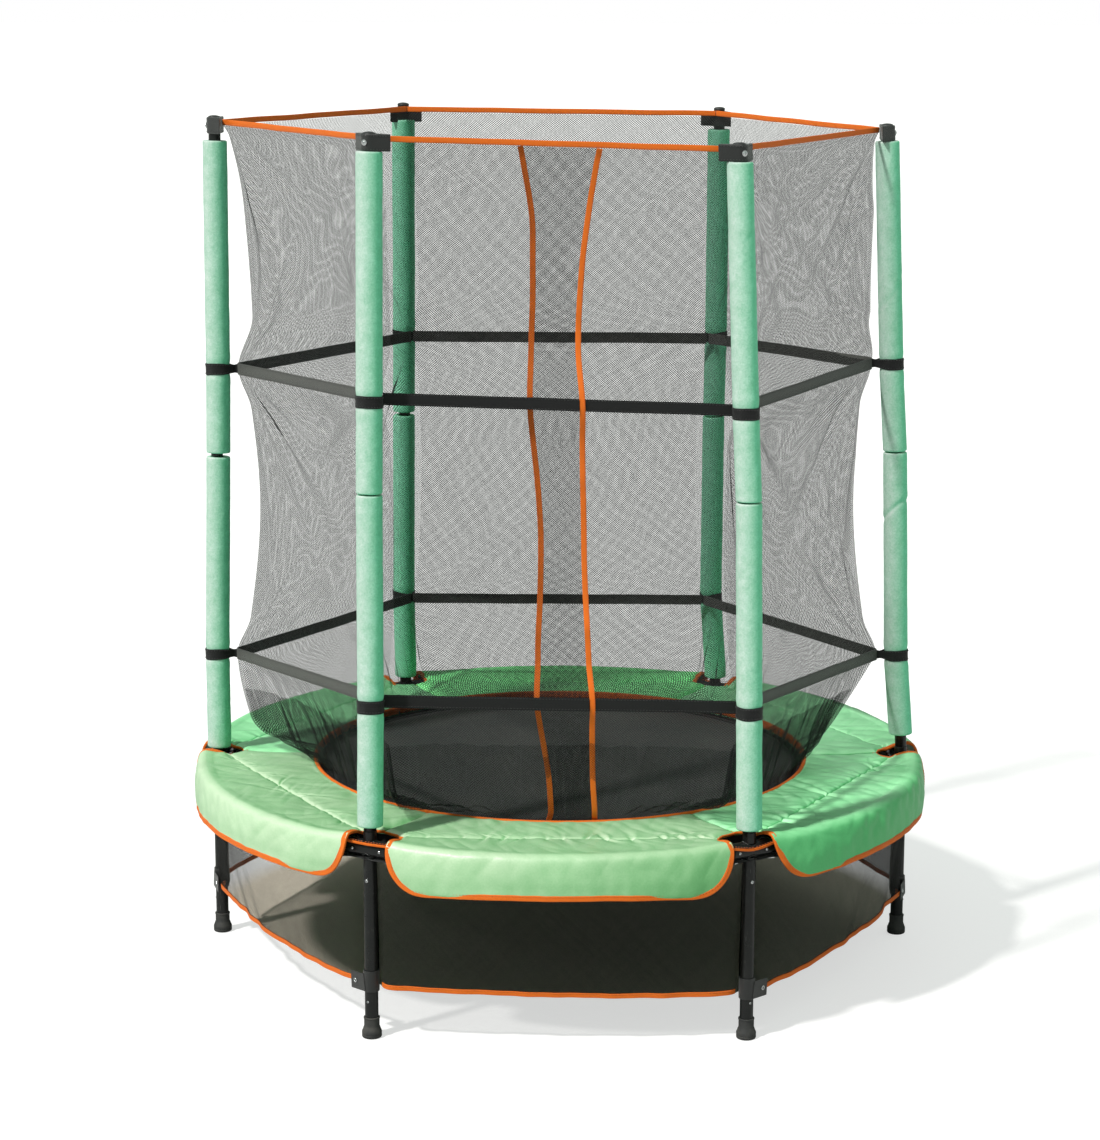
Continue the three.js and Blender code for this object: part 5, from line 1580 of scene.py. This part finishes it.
def skirt_tab(k, tabs, rivets):
    """A cloth tab wrapped round a leg; its tail lies on the skirt and carries an eyelet."""
    side = 1 if k % 2 else -1
    bore = LEG + 0.4 * MM
    middle_height = (TAB_LOW + TAB_HIGH) / 2 - HEM_DROPS[k] * MM
    round_leg = polar(bore + 1.2 * MM, np.linspace(-math.pi, math.pi, 57)[:-1], middle_height)
    tabs.sweep(at_corner(round_leg, k), rounded(2 * MM, TAB_HIGH - TAB_LOW, 26, 8), (0, 0, 1), closed=True)
    start = 0.35
    t = np.linspace(0, 1, 26)
    skin = bore + 2.9 * MM
    lay = np.stack([skin * np.cos(start + t * 1.1), side * (skin * np.sin(start + t * 1.1) + t**2 * 0.026),
                    middle_height - 1.5 * MM - 3 * MM * t], -1)
    lay[:, 0] = np.maximum(lay[:, 0], 2 * MM - t * 4 * MM)
    tabs.sweep(at_corner(lay, k), rounded(1.4 * MM, 32 * MM, 22, 5), (0, 0, 1))
    end = lay[-7]
    out = np.array([math.cos(0.7), side * math.sin(0.7) * 0.5, 0])
    out /= np.linalg.norm(out)
    turn = math.atan2(out[1], out[0])
    ring = np.linspace(0, math.tau, 40, endpoint=False)
    circle_path = np.stack([ring * 0, 3.4 * MM * np.cos(ring), 3.4 * MM * np.sin(ring)], -1)
    moved = turned(circle_path, turn) + end + out * 1.3 * MM
    up = turned(np.broadcast_to(out, (40, 3)), corner_angle(k))
    rivets.sweep(at_corner(moved, k), circle(1.1 * MM, 10), up, closed=True)


for k in range(len(CORNERS)):
    sleeve(k, False)
    sleeve(k, True)
    corner_tab(k)
for bay in range(len(BAYS)):
    pad(bay)
net()
webbing_ring(MIDDLE_BAND, "net_middle_band", "middle_band")
webbing_ring(LOWER_BAND, "net_lower_band", "lower_band")
top_tape()
skirt()


# ---------- floor, light and camera ----------

FILL, SUN, GLOW = 0.45, 3.5, 0.6        # strengths of the sky, the sun and the ground's own white
SHADED, OPEN = 0.7, 0.76                # the ground beneath the object ends between these distances


def stage():
    """A pale floor that turns white away from the object, the sky's fill light and the sun."""
    floor = Piece()
    radii = np.array([0.0001, 0.8, 2, 5, 12, 40, 120])
    floor.sheet(polar(radii[:, None], np.linspace(0, math.tau, 65)[None], np.zeros((7, 65))))
    ground = Finish("pale_floor", (0.5, 0.5, 0.5), 0.9)
    tree = ground.tree
    away = put(tree, "VectorMath", {0: put(tree, "NewGeometry").outputs["Position"]}, operation="LENGTH")
    seen = put(tree, "LightPath").outputs
    through_cloth = reckon(tree, "GREATER_THAN", seen["Transparent Depth"], 0.5)
    near = spread(tree, away.outputs["Value"], OPEN, SHADED)
    ground.tint(reckon(tree, "MULTIPLY", near, through_cloth), (0.9, 0.81, 0.68))
    rays = reckon(tree, "MAXIMUM", seen["Is Camera Ray"], seen["Is Transmission Ray"])
    open_ground = spread(tree, away.outputs["Value"], SHADED, OPEN)
    bare = reckon(tree, "LESS_THAN", seen["Transparent Depth"], 0.5)
    open_ground = reckon(tree, "MAXIMUM", open_ground, bare)
    glow = put(tree, "Emission", {"Color": (1, 1, 1, 1), "Strength": reckon(
        tree, "MULTIPLY", reckon(tree, "MULTIPLY", rays, open_ground), GLOW)})
    both = put(tree, "AddShader", {0: ground.shader.outputs[0], 1: glow.outputs[0]})
    tree.links.new(both.outputs[0], tree.nodes["Material Output"].inputs[0])
    piece = floor.make("floor", ground.material, "", body=None)
    world = bpy.data.worlds.new("studio")
    bpy.context.scene.world = world
    world.use_nodes = True
    tree = world.node_tree
    seen = put(tree, "LightPath").outputs
    rays = reckon(tree, "MAXIMUM", seen["Is Camera Ray"], seen["Is Transmission Ray"])
    strength = spread(tree, rays, 0.0, 1.0, FILL, 1.0)
    tree.links.new(strength, tree.nodes["Background"].inputs["Strength"])
    sky = blend_colour(tree, rays, (0.87, 1.0, 0.91, 1), (1, 1, 1, 1))
    tree.links.new(sky, tree.nodes["Background"].inputs["Color"])
    sun = bpy.data.lights.new("key", "SUN")
    sun.energy = SUN
    sun.color = (1.0, 0.975, 0.94)
    sun.angle = math.radians(4)
    lamp = bpy.data.objects.new("key", sun)
    bpy.context.scene.collection.objects.link(lamp)
    lift, way = math.radians(50), math.radians(-140)
    lamp.rotation_mode = "QUATERNION"
    lamp.rotation_quaternion = Vector(polar(math.cos(lift), way, math.sin(lift))).to_track_quat("Z", "Y")


def camera():
    """Looks down a little at the front from over five metres away."""
    data = bpy.data.cameras.new("camera")
    data.lens = 89.97
    data.sensor_width = 36
    data.shift_x = -0.0119
    data.shift_y = -0.0009
    data.clip_end = 200
    eye = bpy.data.objects.new("camera", data)
    eye.location = (0.002, -5.37, 1.84)
    eye.rotation_euler = (math.radians(90 - 11.67), math.radians(-0.19), 0)
    bpy.context.scene.collection.objects.link(eye)
    bpy.context.scene.camera = eye


stage()
camera()
bpy.context.scene.view_settings.view_transform = "Standard"
